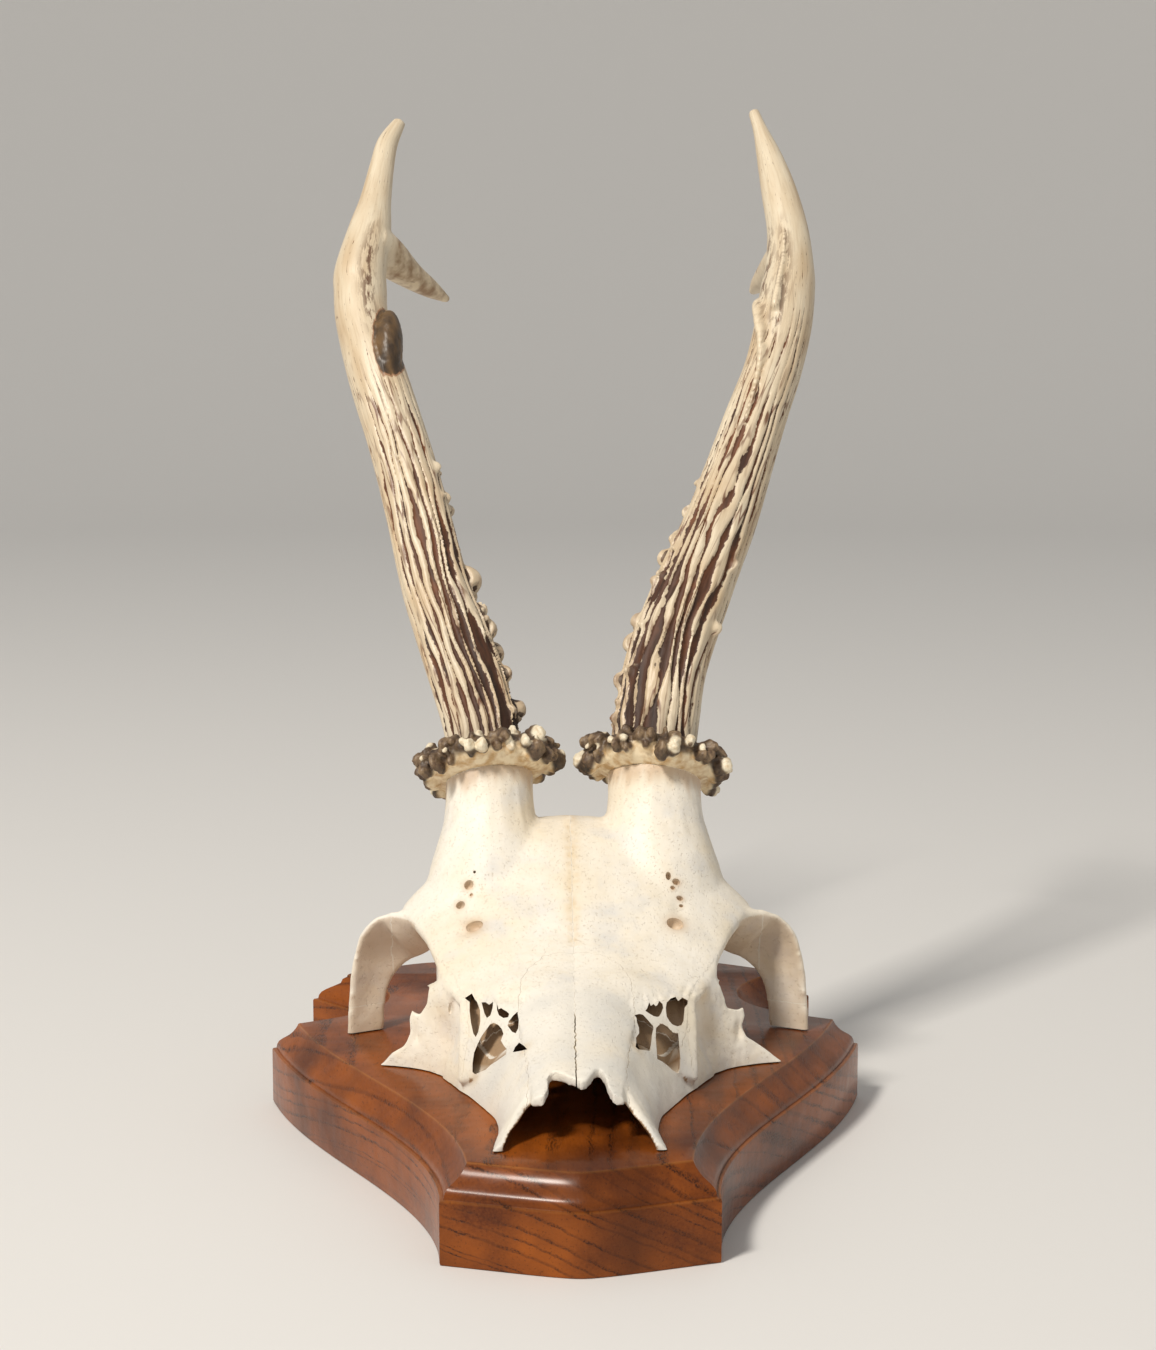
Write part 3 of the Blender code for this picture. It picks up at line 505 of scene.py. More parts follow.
def varnished_oak():
    """Oak, moulded along its grain, stained red-brown and varnished: rows of dark open pores in
    each ring's early wood, and a satin clear coat over all."""
    material, tree, shader = new_material("varnished_oak", 0.42, 1.5, {
        "Coat Weight": 0.5, "Coat Roughness": 0.2, "Coat IOR": 1.36, "Specular IOR Level": 0.12})
    place = millimetres(tree)
    parts = add_node(tree, "SeparateXYZ", inputs={"Vector": place}).node.outputs
    squares = []
    for part, centre in ((parts[0], RING_CENTRE[0]), (parts[2], RING_CENTRE[1])):
        away = add_node(tree, "Math", {"operation": "SUBTRACT"}, (part, centre))
        squares.append(add_node(tree, "Math", {"operation": "MULTIPLY"}, (away, away)))
    reach = add_node(tree, "Math", {"operation": "ADD"}, squares)
    reach = add_node(tree, "Math", {"operation": "SQRT"}, (reach,))
    # The rings bend slowly and waver, and good and poor years make them wide and narrow.
    for vector, size, detail, swing in (
            (millimetres(tree, (1.0, 3.0, 1.0)), 50.0, 1.0, 9.0),
            (millimetres(tree, (1.0, 2.0, 1.0)), 3.0, 2.0, 0.9),
            (None, 6.0, 1.0, 7.0)):
        waves = add_node(tree, "TexNoise", inputs={
            "Vector": vector or reach, "Scale": 1 / size, "Detail": detail})
        waves = add_node(tree, "Math", {"operation": "MULTIPLY"}, (waves, swing))
        reach = add_node(tree, "Math", {"operation": "ADD"}, (reach, waves))
    phase = add_node(tree, "Math", {"operation": "DIVIDE"}, (reach, RING_WIDTH))
    phase = add_node(tree, "Math", {"operation": "FRACT"}, (phase,))
    early = add_node(tree, "ValToRGB", inputs={"Fac": phase}, ramp=(
        (0.0, 0.3), (0.06, 1.0), (0.16, 0.9), (0.36, 0.0), (0.97, 0.0), (1.0, 0.3)))
    drawn = millimetres(tree, (1.0, 6.0, 1.0))
    open_pores = mottle(tree, drawn, 0.33, 1.0, ((0.50, 0.0), (0.58, 1.0)))
    sparse = mottle(tree, millimetres(tree, (1.0, 3.0, 1.0)), 6.0, 3.0, ((0.42, 0.05), (0.58, 1.0)))
    rows = add_node(tree, "Math", {"operation": "MULTIPLY"}, (early, sparse))
    pores = add_node(tree, "Math", {"operation": "MULTIPLY"}, (open_pores, rows))
    stray = mottle(tree, drawn, 0.4, 1.0, ((0.66, 0.0), (0.70, 0.5)))
    marks = add_node(tree, "Math", {"operation": "MAXIMUM"}, (pores, stray))
    fibre = mottle(tree, drawn, 0.5, 4.0, ((0.3, 0.0), (0.75, 1.0)))
    edge = add_node(tree, "Attribute", {"attribute_name": "edge"}, output="Fac")
    # The stain is rubbed thin along the top edge, and its lighter colour there is also a painted highlight;
    # the lighter line along the lip is a painted highlight. The stain lies thick in cloudy patches.
    broad = millimetres(tree, (1.0, 4.0, 1.0))
    upright = millimetres(tree, (1.0, 1.0, 1.6))
    colour = paint(tree, "#984F12", [
        (mottle(tree, broad, 13.0, 3.0, ((0.35, 0.0), (0.7, 1.0))), "#52240B"),
        (early, 0.45, "#45200A"),
        (fibre, 0.25, "#A25A22"),
        (edge, "#A8703A"),
        (mottle(tree, upright, 22.0, 2.0, ((0.50, 0.0), (0.70, 0.6))), "#341608"),
        (marks, 0.75, "#2C140A")])
    tree.links.new(colour, shader.inputs["Base Color"])
    pits = add_node(tree, "Math", {"operation": "MULTIPLY"}, (pores, -1.0))
    hand = add_node(tree, "TexNoise", inputs={"Vector": place, "Scale": 1 / 5.0, "Detail": 1.0})
    emboss(tree, shader, [(pits, 0.12), (fibre, 0.02), (hand, 0.35)])
    return material


# The shield


SHIELD_FRONT = -82.0
SHIELD_REAR = 84.0
SHIELD_HALF_WIDTH = 61.2
BAND_HEIGHT = 11.7
MOULDING_INSET = 5.2


def shield_half_outline():
    """Half of the shield's outline, from the front point round to the rear point."""
    front = (0.0, SHIELD_FRONT)
    corner = (24.5, -74.6)
    wide = (SHIELD_HALF_WIDTH, 25.0)
    waist = (42.4, 44.0)
    ear = (55.4, 65.5)
    shoulder = (27.0, 80.0)
    rear = (0.0, SHIELD_REAR)
    runs = [
        bezier(front, (4.0, -82.0), (14.0, -78.0), corner, 16),
        bezier(corner, (25.6, -40.0), (52.0, -14.0), wide, 60),
        bezier(wide, (53.0, 30.0), (42.6, 34.0), waist, 26),
        bezier(waist, (42.4, 53.0), (48.6, 56.6), ear, 24),
        bezier(ear, (46.0, 71.0), (37.0, 79.5), shoulder, 20),
        bezier(shoulder, (18.0, 80.6), (12.0, 84.0), rear, 20),
    ]
    return np.vstack(runs + [[rear]])


def inset_outline(points, distance):
    """Move a closed outline inwards by a distance, with mitred corners."""
    ahead = np.roll(points, -1, axis=0) - points
    onward = unit(ahead)
    into = np.roll(onward, 1, axis=0)
    first = np.column_stack([-into[:, 1], into[:, 0]])
    second = np.column_stack([-onward[:, 1], onward[:, 0]])
    middle = unit(first + second)
    share = np.maximum(np.sum(middle * first, axis=1), 0.4)
    moved = points + middle * (distance / share)[:, None]
    # Beside a sharp corner the moved points would cross over, so they close up at its mitre.
    spot = moved[:, None] - points[None]
    run = np.clip(np.sum(spot * ahead, axis=2) / np.sum(ahead * ahead, axis=1), 0, 1)
    gap = np.linalg.norm(spot - run[:, :, None] * ahead, axis=2).min(axis=1)
    good = np.flatnonzero(gap >= distance * 0.985 - 1e-6)
    apart = np.abs(np.arange(len(points))[:, None] - good[None])
    nearest = good[np.argmin(np.minimum(apart, len(points) - apart), axis=1)]
    return moved[nearest]


def moulding_profile():
    """The inset and height of each line of the moulding: band, lip, round, hollow and top."""
    rise = SHIELD_TOP - BAND_HEIGHT
    lines = [(0.5, 0.0), (0.12, 0.12), (0.0, 0.5), (0.0, BAND_HEIGHT - 0.45)]
    lines += [(0.12, BAND_HEIGHT - 0.12), (0.45, BAND_HEIGHT), (0.78, BAND_HEIGHT + 0.05)]
    curve = [(0.80, 0.25), (0.92, 0.9), (1.3, 1.6), (1.95, 2.2),
             (2.65, 2.7), (3.3, 3.2), (3.9, 3.85), (4.45, 4.65)]
    lines += [(inset, BAND_HEIGHT + height) for inset, height in curve]
    lines += [(4.78, BAND_HEIGHT + rise - 0.5), (4.92, SHIELD_TOP - 0.14), (5.2, SHIELD_TOP)]
    return lines


def make_shield():
    half = shield_half_outline()
    outline = np.vstack([half, half[-2:0:-1] * (-1, 1)])
    shape = Shape()
    shape.loft([np.column_stack([inset_outline(outline, inset), np.full(len(outline), height)])
                for inset, height in moulding_profile()])
    piece = shape.to_object("oak_shield")
    bm = bmesh.new()
    bm.from_mesh(piece.data)
    bmesh.ops.remove_doubles(bm, verts=bm.verts, dist=0.005 * MM)
    bm.to_mesh(piece.data)
    bm.free()
    height = points_of(piece)[:, 2]
    # The lighter edge colour is rubbed stain and painted highlight on the top edge, and painted highlight on
    # the lip.
    top_edge_wear_and_highlight = np.abs(height - SHIELD_TOP + 0.14) < 0.05
    lip_highlight = np.abs(height - BAND_HEIGHT + 0.06) < 0.08
    store(piece, "edge", 0.45 * top_edge_wear_and_highlight + 0.2 * lip_highlight)
    dress(piece, varnished_oak(), ["shield"], 28.0)


# The skull cap


# Half sections of the cranium: y, height at the midline, rim x and z, and wall x.
CRANIUM = [
    (-12.5, 41.6, 26.8, 35.8, 25.6), (-8.0, 45.0, 28.2, 38.8, 25.8), (0.0, 51.6, 31.0, 41.8, 26.2),
    (8.0, 57.4, 34.4, 43.6, 26.4), (14.0, 60.4, 35.6, 43.8, 26.4), (20.0, 61.2, 33.0, 43.4, 26.6),
    (26.0, 60.2, 30.6, 42.6, 27.4), (32.0, 57.2, 30.0, 41.0, 28.4), (40.0, 52.0, 30.0, 38.0, 28.8),
    (48.0, 45.4, 28.4, 34.0, 27.0), (56.0, 36.6, 24.4, 28.6, 23.0), (61.0, 28.6, 19.0, 23.4, 17.6),
    (64.0, 21.0, 12.0, 18.6, 11.0),
]
MASS_FLOOR = 15.0
# The roof of the nose and the brow: y, height at the midline, side edge x and z.
ROOF_STATIONS = [
    (-63.0, 26.8, 8.4, 25.2), (-56.0, 29.2, 8.4, 26.8), (-46.0, 32.2, 9.2, 29.2),
    (-36.0, 35.2, 10.6, 31.8), (-29.0, 37.2, 11.6, 33.8), (-25.0, 38.2, 17.6, 33.6),
    (-22.0, 38.8, 21.6, 33.8), (-18.0, 39.6, 24.4, 34.4), (-10.0, 43.4, 27.6, 37.2),
]
# The side of the nose: y, upper edge x and z, lower edge x and z.
MAXILLA_STATIONS = [
    (-66.4, 14.2, 18.9, 15.8, 15.4), (-61.0, 12.0, 21.8, 15.4, 15.4), (-56.0, 9.0, 26.0, 15.2, 15.4),
    (-48.0, 9.4, 28.0, 15.6, 15.4), (-41.0, 10.6, 29.6, 18.0, 15.4), (-34.5, 12.6, 29.0, 20.6, 15.4),
    (-30.0, 16.4, 24.4, 22.4, 15.4), (-25.0, 20.0, 25.4, 24.2, 15.4), (-19.5, 22.8, 25.6, 26.8, 15.4),
]
# The plate in front of the eye socket: x, lower edge y, upper edge y and z, and depth.
LACRIMAL_STATIONS = [
    (20.4, -24.6, -19.0, 33.6, 4.0), (23.5, -22.6, -16.6, 34.6, 4.6), (26.2, -19.4, -14.6, 34.6, 5.2),
    (28.8, -16.0, -12.0, 33.6, 5.0), (31.0, -14.2, -10.6, 32.0, 4.0), (32.8, -13.2, -10.0, 30.6, 3.4),
    (34.2, -12.6, -9.8, 26.6, 3.8), (36.4, -11.8, -9.8, 22.8, 3.8), (38.4, -11.3, -9.8, 20.8, 3.6),
    (40.0, -11.0, -9.9, 19.6, 3.2),
]
# The blade behind the eye socket: front edge, rear edge, and the bulge of its outer face.
ORBIT_BAR = [
    (33.0, 7.0, 43.2, 28.6, 15.0, 35.4, 0.6), (37.0, 10.4, 43.6, 30.2, 17.4, 33.8, 1.0),
    (40.9, 12.0, 42.0, 33.6, 18.4, 32.0, 1.4), (43.7, 13.0, 39.1, 36.2, 18.6, 29.8, 1.6),
    (45.2, 13.4, 35.6, 38.0, 18.4, 27.4, 1.4), (46.1, 13.6, 31.0, 39.0, 18.0, 24.6, 1.1),
    (46.6, 13.6, 26.0, 39.5, 17.8, 21.6, 0.8), (47.1, 13.4, 19.6, 39.7, 17.6, 17.6, 0.6),
    (47.3, 13.2, 13.4, 39.8, 17.4, 13.4, 0.5),
]
# The thin wall beside the nose, which the lattice is cut from: upper edge and lower edge.
GAP_WALL = [
    (9.4, -28.8, 34.6, 9.4, -38.8, 30.2), (13.0, -27.4, 34.5, 13.4, -36.0, 27.2),
    (17.0, -24.6, 34.3, 17.2, -33.2, 23.6), (20.0, -22.0, 34.3, 20.4, -31.0, 20.4),
    (22.4, -20.0, 33.6, 22.6, -28.6, 19.4),
]
PLATE = 1.9
GAP_THICKNESS = 1.3
# How far behind the lattice its second wall lies; the brown on that wall is painted shade.
GAP_DEPTH = (0.0, 5.4, -1.4)
BAR_THICKNESS = 2.5
CORONET_CENTRE = np.array((17.2, 24.6, 71.0))
CORONET_AXIS = unit(np.array((0.12, 0.48, 0.87)))
CORONET_THICKNESS = 6.0
CORONET_GAP = 0.03
PEDICLE_REACH = 27.0

# Windows of the lattice, each point on the thin wall that they are cut from.
LEFT_HOLES = [
    [(21.6, -20.7, 33.7), (20.2, -21.4, 34.8), (19.5, -22.7, 33.9), (19.1, -23.3, 33.6),
     (18.5, -24.8, 32.4), (18.4, -26.2, 30.6), (18.8, -27.1, 28.8), (19.3, -27.2, 27.8),
     (19.8, -26.3, 28.3), (20.3, -24.7, 30.0), (20.6, -23.0, 31.8), (20.6, -22.1, 33.3)],
    [(18.2, -24.0, 33.7), (17.4, -24.6, 33.9), (16.7, -25.4, 33.6), (15.9, -25.5, 34.2),
     (16.0, -26.4, 33.2), (16.4, -27.1, 32.0), (17.1, -26.9, 31.4), (17.6, -25.9, 32.0),
     (18.0, -24.7, 33.1)],
    [(15.2, -26.2, 34.1), (14.8, -27.4, 33.2), (14.3, -27.5, 33.5), (13.8, -28.1, 33.3),
     (13.2, -28.9, 33.2), (12.7, -29.6, 32.9), (12.9, -30.1, 32.4), (13.8, -29.6, 32.1),
     (14.7, -28.4, 32.3), (15.1, -27.3, 33.0)],
    [(11.1, -30.0, 33.4), (11.9, -30.4, 32.8), (12.8, -31.0, 31.8), (12.9, -31.9, 31.1),
     (12.1, -33.6, 30.5), (11.4, -34.6, 30.5), (10.9, -34.0, 31.3), (10.8, -32.2, 32.3)],
    [(15.7, -28.8, 30.9), (16.5, -28.3, 30.5), (17.4, -28.3, 29.3), (18.1, -28.3, 28.3),
     (18.9, -28.4, 26.8), (19.6, -28.7, 25.2), (19.9, -29.6, 23.4), (19.9, -30.6, 22.0),
     (19.4, -31.5, 21.8), (17.3, -33.4, 23.2), (16.3, -34.0, 24.3), (14.9, -35.2, 25.5),
     (13.3, -36.5, 27.0), (13.1, -35.8, 27.8), (13.7, -34.4, 28.1), (14.3, -32.9, 28.7),
     (13.8, -32.3, 29.8), (14.1, -31.2, 30.4), (14.8, -29.8, 30.8)],
    [(10.7, -37.4, 29.5), (9.8, -39.5, 29.5), (9.1, -41.0, 29.2), (10.2, -40.2, 28.7), (11.9, -37.9, 27.8),
     (11.5, -37.4, 28.6)],
]
RIGHT_HOLES = [
    [(10.9, -31.1, 32.9), (11.8, -30.4, 32.9), (12.4, -30.1, 32.7), (13.1, -30.4, 32.0),
     (13.7, -30.6, 31.3), (14.2, -30.7, 30.7), (14.3, -31.2, 30.2), (14.0, -32.5, 29.3),
     (13.8, -34.1, 28.2), (13.6, -35.6, 27.2), (12.7, -36.7, 27.6), (11.4, -38.1, 28.2),
     (10.8, -38.5, 28.8), (11.0, -37.2, 29.3), (11.0, -36.1, 29.9), (11.6, -34.5, 30.3),
     (11.6, -33.4, 31.1), (11.3, -32.5, 31.8), (11.2, -31.6, 32.5)],
    [(12.9, -29.2, 33.2), (13.3, -28.4, 33.5), (13.7, -27.1, 34.3), (14.0, -27.5, 33.7),
     (14.5, -26.9, 33.9), (14.9, -27.0, 33.5), (15.2, -26.6, 33.6), (15.6, -25.8, 34.2),
     (16.2, -25.8, 33.6), (16.3, -26.3, 32.9), (15.9, -27.3, 32.2), (15.5, -28.1, 31.8),
     (15.1, -28.5, 31.8), (14.4, -29.0, 32.1), (13.7, -29.1, 32.6)],
    [(17.0, -25.1, 33.7), (17.8, -24.0, 34.2), (18.7, -23.2, 34.3), (19.2, -23.3, 33.5),
     (20.0, -22.3, 33.9), (21.0, -21.7, 33.2), (21.0, -22.2, 32.6), (20.4, -23.0, 32.1),
     (20.3, -23.8, 31.3), (20.1, -24.9, 30.0), (19.7, -25.7, 29.4), (18.9, -26.5, 29.4),
     (18.0, -27.1, 29.9), (17.4, -27.2, 30.6), (16.9, -27.0, 31.5), (16.8, -26.5, 32.3),
     (16.8, -25.8, 33.0)],
    [(14.8, -30.5, 30.2), (15.6, -29.2, 30.6), (16.2, -28.6, 30.4), (17.1, -28.3, 29.7),
     (18.0, -28.2, 28.6), (19.0, -27.3, 28.2), (19.1, -28.2, 26.9), (19.2, -29.0, 25.4),
     (19.3, -29.9, 24.1), (19.2, -31.1, 22.5), (18.8, -32.2, 21.8), (17.7, -33.1, 22.8),
     (16.9, -33.5, 23.7), (15.9, -34.2, 24.7), (14.9, -35.2, 25.5), (14.8, -33.7, 27.1),
     (14.7, -32.0, 28.9)],
]
# The space between the two spikes at the front of the nose, cut on each side in turn.
SPIKE_INSIDE_LEFT = [
    (-9.0, 24.8), (-10.8, 21.9), (-12.3, 20.2), (-13.4, 17.4), (-12.0, 14.0), (-3.3, 14.0), (-3.3, 24.8),
]
SPIKE_INSIDE_RIGHT = [
    (3.8, 24.7), (3.8, 14.0), (11.9, 14.0), (13.5, 17.0), (12.4, 19.6), (10.6, 22.1), (7.9, 24.7),
]
# The hooked outer edge of each lacrimal bone, from the front: x from the midline and z.
LACRIMAL_EDGE_LEFT = [
    (28.8, 34.1), (29.1, 32.9), (29.4, 30.5), (30.9, 28.3), (31.9, 28.7), (32.6, 29.2), (33.0, 27.6),
    (32.9, 24.9), (33.6, 23.1), (34.3, 22.0), (36.6, 20.7), (38.3, 18.8), (39.4, 18.2),
]
LACRIMAL_EDGE_RIGHT = [
    (27.4, 34.8), (28.1, 32.7), (28.7, 30.9), (29.0, 29.3), (31.3, 28.9), (32.3, 29.5), (32.6, 27.8),
    (32.1, 25.6), (32.8, 23.4), (34.3, 22.4), (36.3, 20.9), (38.6, 19.1), (39.8, 18.2),
]
# The notched front edge of the nasal bones, on the left and on the right, from above.
NASAL_FRONT_LEFT = [
    (0.2, -58.0), (1.6, -57.4), (3.0, -56.2), (4.6, -55.4), (5.2, -56.8), (5.2, -59.6),
    (5.9, -62.0), (7.4, -61.6), (8.9, -61.2), (9.6, -62.4), (9.6, -78.0), (-0.6, -78.0), (-0.6, -58.4),
]
NASAL_FRONT_RIGHT = [
    (-0.2, -58.4), (0.9, -59.2), (2.0, -58.4), (3.2, -55.6), (4.0, -54.6), (4.9, -56.2), (5.4, -59.4),
    (6.3, -61.6), (7.6, -61.4), (8.9, -61.4), (9.6, -62.6), (9.6, -78.0), (-0.6, -78.0), (-0.6, -58.4),
]
# Sutures from above, on one side.
MIDLINE = [(0.0, -72.0), (0.0, -14.9), (0.0, 66.0)]
NASAL_SUTURE = [
    (0.0, -14.9), (3.0, -14.9), (6.4, -16.0), (9.0, -18.6), (10.3, -23.0), (11.0, -29.0), (10.7, -36.0),
    (9.6, -44.0), (8.8, -52.0), (9.2, -60.0), (9.4, -74.0),
]
FRONTAL_EDGE = [(10.4, -27.8), (14.5, -26.6), (18.4, -24.4), (21.4, -21.4), (23.5, -15.6), (27.5, -8.2),
                (32.0, -5.6), (44.0, -5.0)]
LACRIMAL_EDGE = [(21.4, -21.4), (20.6, -26.4), (22.0, -30.0), (26.5, -36.0)]
GAP_FLOOR = [(21.4, -25.4), (20.4, -27.0), (18.6, -31.2), (14.4, -34.4), (9.4, -38.6)]
CORONAL_SUTURE = [(0.0, 32.0), (8.0, 31.2), (16.0, 33.0), (24.0, 32.0), (40.0, 33.0)]
ORBIT_CUT = [(37.6, 2.0), (37.6, 25.0)]
ORBIT_FOOT_HEIGHT = 23.2
# Each bone on the right with a point near its middle.
BONES = {
    "nasal": (5.0, -40.0, 31.0), "frontal": (16.0, 8.0, 42.0), "parietal": (14.0, 46.0, 33.0),
    "maxilla": (15.0, -43.0, 23.0), "lacrimal": (27.0, -16.0, 26.0), "ethmoid": (14.5, -29.0, 31.5),
    "postorbital_bar": (42.5, 14.8, 33.0), "zygomatic_foot": (43.4, 15.5, 20.0),
}
LEFT_SHARE = 0.965
RIGHT_SHARE = 1.035
SIDE_TURN = 0.6
TURN_START = 40.0
TURN_LENGTH = 34.0


def natural_x(x, y):
    """The real skull is a little wider on the right, and its nose turns to the left."""
    share = np.where(x > 0, RIGHT_SHARE, LEFT_SHARE)
    turn = np.sin(np.minimum((y + TURN_START) / TURN_LENGTH, math.pi / 2))
    return x * share + SIDE_TURN * turn


def both_sides(half):
    return half + [(-x, y, z) for x, y, z in reversed(half) if x > 0.0]


def cranium_ring(row):
    """One closed section of the cranium, over both rims and down to its base."""
    y, top, rim_x, rim_z, wall_x = row
    half = [(0.0, y, top)]
    for share in np.linspace(0, 1, 29)[1:]:
        half.append((rim_x * share, y, top - (top - rim_z) * share ** 2.3))
    drop = rim_z - MASS_FLOOR
    half.append((rim_x - 0.6, y, rim_z - 0.07 * drop))
    half.append(((rim_x + wall_x) / 2, y, rim_z - 0.15 * drop))
    half.append((wall_x + 0.3, y, rim_z - 0.26 * drop))
    half.append((wall_x, y, MASS_FLOOR + 0.45 * drop))
    half.append((wall_x, y, MASS_FLOOR))
    return both_sides(half)


def roof_ring(row):
    """A section of the bent plate over the nose, each nasal bone a little domed."""
    y, top, edge_x, edge_z = row
    half = []
    for share in np.linspace(0, 1, 22):
        dome = 0.35 * math.sin(math.pi * share)
        half.append((edge_x * share, y, top - (top - edge_z) * share ** 2.2 + dome))
    under = [(x, y, z - PLATE) for x, y, z in half]
    upper = [(-x, y, z) for x, y, z in reversed(half[1:])] + half
    lower = under[::-1] + [(-x, y, z) for x, y, z in under[1:]]
    return upper + lower


def maxilla_ring(row):
    y, top_x, top_z, foot_x, foot_z = row
    outer = [(top_x + (foot_x - top_x) * t + 0.9 * math.sin(math.pi * t), y, top_z + (foot_z - top_z) * t)
             for t in np.linspace(0, 1, 12)]
    return outer + [(x - 2.2, y, z) for x, y, z in reversed(outer)]


def lacrimal_ring(row):
    x, foot_y, top_y, top_z, deep = row
    front = [(x, foot_y + (top_y - foot_y) * t, MASS_FLOOR + (top_z - MASS_FLOOR) * t)
             for t in np.linspace(0, 1, 12)]
    return front + [(x, y + deep, z) for x, y, z in reversed(front)]


def blade_rings(stations, steps, thickness):
    """Sections of a curved blade between a front and a rear edge, thin at both edges."""
    rows = smooth_rows(stations, steps)
    rings = []
    for k, row in enumerate(rows):
        front, rear, bulge = row[:3], row[3:6], (row[6] if len(row) > 6 else 0.0)
        ahead = rows[min(k + 1, len(rows) - 1)][:3] - rows[max(k - 1, 0)][:3]
        outward = unit(np.cross(rear - front, ahead))
        outward = outward if outward[0] > 0 else -outward
        outer = []
        inner = []
        for t in np.linspace(0, 1, 14):
            arch = math.sin(math.pi * t)
            spot = front + (rear - front) * t + outward * bulge * arch
            half = thickness / 2 * (0.6 + 0.4 * arch)
            outer.append(spot + outward * half)
            inner.append(spot - outward * half)
        rings.append(outer + inner[::-1])
    return rings


def tube_rings(stations, sides, steps):
    """Round sections along a smooth line; each station is x, y, z and width."""
    rows = smooth_rows(stations, steps)
    centres = rows[:, :3]
    ahead = np.vstack([centres[1:], centres[-1:]]) - np.vstack([centres[:1], centres[:-1]])
    axis = unit(ahead)
    rear = unit(np.array((0, 1, 0)) - axis * axis[:, 1:2])
    across = np.cross(rear, axis)
    turn = np.arange(sides) * math.tau / sides
    spread = across[:, None] * np.cos(turn)[:, None] + rear[:, None] * np.sin(turn)[:, None]
    return centres[:, None] + spread * rows[:, None, 3:4] / 2


def pedicle_rings():
    top = CORONET_CENTRE - CORONET_AXIS
    foot = top - np.array((0.02, 0.34, 0.94)) * PEDICLE_REACH
    widths = [(0.0, 29.0), (0.25, 26.0), (0.45, 22.4), (0.62, 19.6), (0.8, 18.6), (1.0, 18.8)]
    return tube_rings([(*(foot + (top - foot) * share), width) for share, width in widths], 40, 5)


def skull_skin():
    """The skull cap as one even skin, still the same on both sides."""
    middle = Shape()
    middle.loft([cranium_ring(row) for row in smooth_rows(CRANIUM, 5)])
    middle.loft([roof_ring(row) for row in smooth_rows(ROOF_STATIONS, 8)])
    beside = Shape()
    beside.loft([maxilla_ring(row) for row in smooth_rows(MAXILLA_STATIONS, 8)])
    beside.loft([lacrimal_ring(row) for row in smooth_rows(LACRIMAL_STATIONS, 8)])
    beside.loft(blade_rings(ORBIT_BAR, 6, BAR_THICKNESS))
    beside.loft(blade_rings(GAP_WALL, 6, GAP_THICKNESS))
    beside.loft(blade_rings([np.array(row) + GAP_DEPTH * 2 for row in GAP_WALL], 6, GAP_THICKNESS))
    beside.loft(pedicle_rings())
    middle.take(beside)
    middle.mirrored(beside)
    skull = middle.to_object("skull_skin")
    skin_over(skull, BONE_VOXEL)
    points = points_of(skull)
    beside_nose = smooth_step(30.0, 24.0, points[:, 1] * -1.0)
    thin = 1.0 - beside_nose * smooth_step(-2.0, 2.0, points[:, 1] + 18.0)
    soften(skull, 20, 0.85 * thin)
    return skull


def cut_edges(skull):
    """The nose's notched front edge, and the hooked edge in front of each eye socket."""
    carve(skull, upright_cutter(np.array(NASAL_FRONT_LEFT) * (-1, 1)))
    carve(skull, upright_cutter(NASAL_FRONT_RIGHT))
    for side, edge in ((-1, LACRIMAL_EDGE_LEFT), (1, LACRIMAL_EDGE_RIGHT)):
        outline = [(x * side, -12.5, z) for x, z in edge + [(44.0, edge[-1][1]), (44.0, edge[0][1])]]
        carve(skull, window_cutter(outline, -9.0, 9.0))
    for outline in (SPIKE_INSIDE_LEFT, SPIKE_INSIDE_RIGHT):
        carve(skull, window_cutter([(x, -63.0, z) for x, z in outline], -5.0, 9.0))
    skin_over(skull, BONE_VOXEL * 0.86)
    soften(skull, 1)


def cut_windows(skull):
    for side, holes in ((-1, LEFT_HOLES), (1, RIGHT_HOLES)):
        for hole in holes:
            carve(skull, window_cutter(np.array(hole) * (side, 1, 1), -9.0, 3.4))


# Shallow hollows on either side: centre, half sizes and depth.
HOLLOWS = [
    (1, (20.4, -1.6, 46.8), (1.4, 2.4, 2.2), 0.5), (-1, (20.9, -1.9, 46.2), (1.6, 2.6, 2.4), 0.55),
    (-1, (22.2, -5.6, 43.4), (2.2, 1.6, 1.4), 0.7), (1, (25.3, -16.8, 26.0), (2.5, 4.0, 5.2), 1.5),
    (-1, (25.9, -16.6, 26.0), (3.0, 4.0, 5.0), 1.5), (1, (31.6, -12.8, 24.6), (0.8, 2.0, 1.7), 0.9),
    (-1, (31.9, -12.8, 24.2), (0.8, 2.0, 1.7), 0.7),
]
# Holes that nerves and vessels run through: side, centre, width, height and depth.
VESSEL_HOLES = [
    (-1, (21.2, 3.0, 50.7), 2.0, 2.0, 1.5), (-1, (22.9, 0.7, 47.1), 1.9, 2.0, 1.9),
    (-1, (20.1, -5.1, 44.2), 4.2, 2.6, 1.5), (-1, (20.0, 4.6, 52.6), 0.9, 0.9, 1.0),
    (-1, (20.7, 1.4, 49.2), 0.8, 0.7, 0.8), (-1, (24.7, -17.6, 31.6), 1.2, 2.2, 3.0),
    (1, (20.1, 2.8, 51.1), 1.6, 1.4, 1.6), (1, (18.6, 3.4, 52.0), 1.1, 1.8, 1.4),
    (1, (19.4, 1.8, 50.2), 1.0, 0.9, 1.2), (1, (20.7, 0.8, 48.2), 1.4, 1.2, 1.5),
    (1, (20.9, -0.4, 46.9), 0.9, 0.8, 1.0), (1, (19.5, -5.2, 44.4), 3.4, 3.0, 1.9),
    (1, (25.6, -18.6, 23.8), 0.7, 0.8, 1.6), (1, (17.6, 5.2, 53.8), 0.6, 0.6, 0.8),
    (-1, (13.6, -11.8, 40.6), 0.5, 0.5, 0.8), (1, (13.0, -12.4, 40.2), 0.5, 0.4, 0.8),
    (1, (15.0, -12.0, 40.2), 0.4, 0.4, 0.8),
]


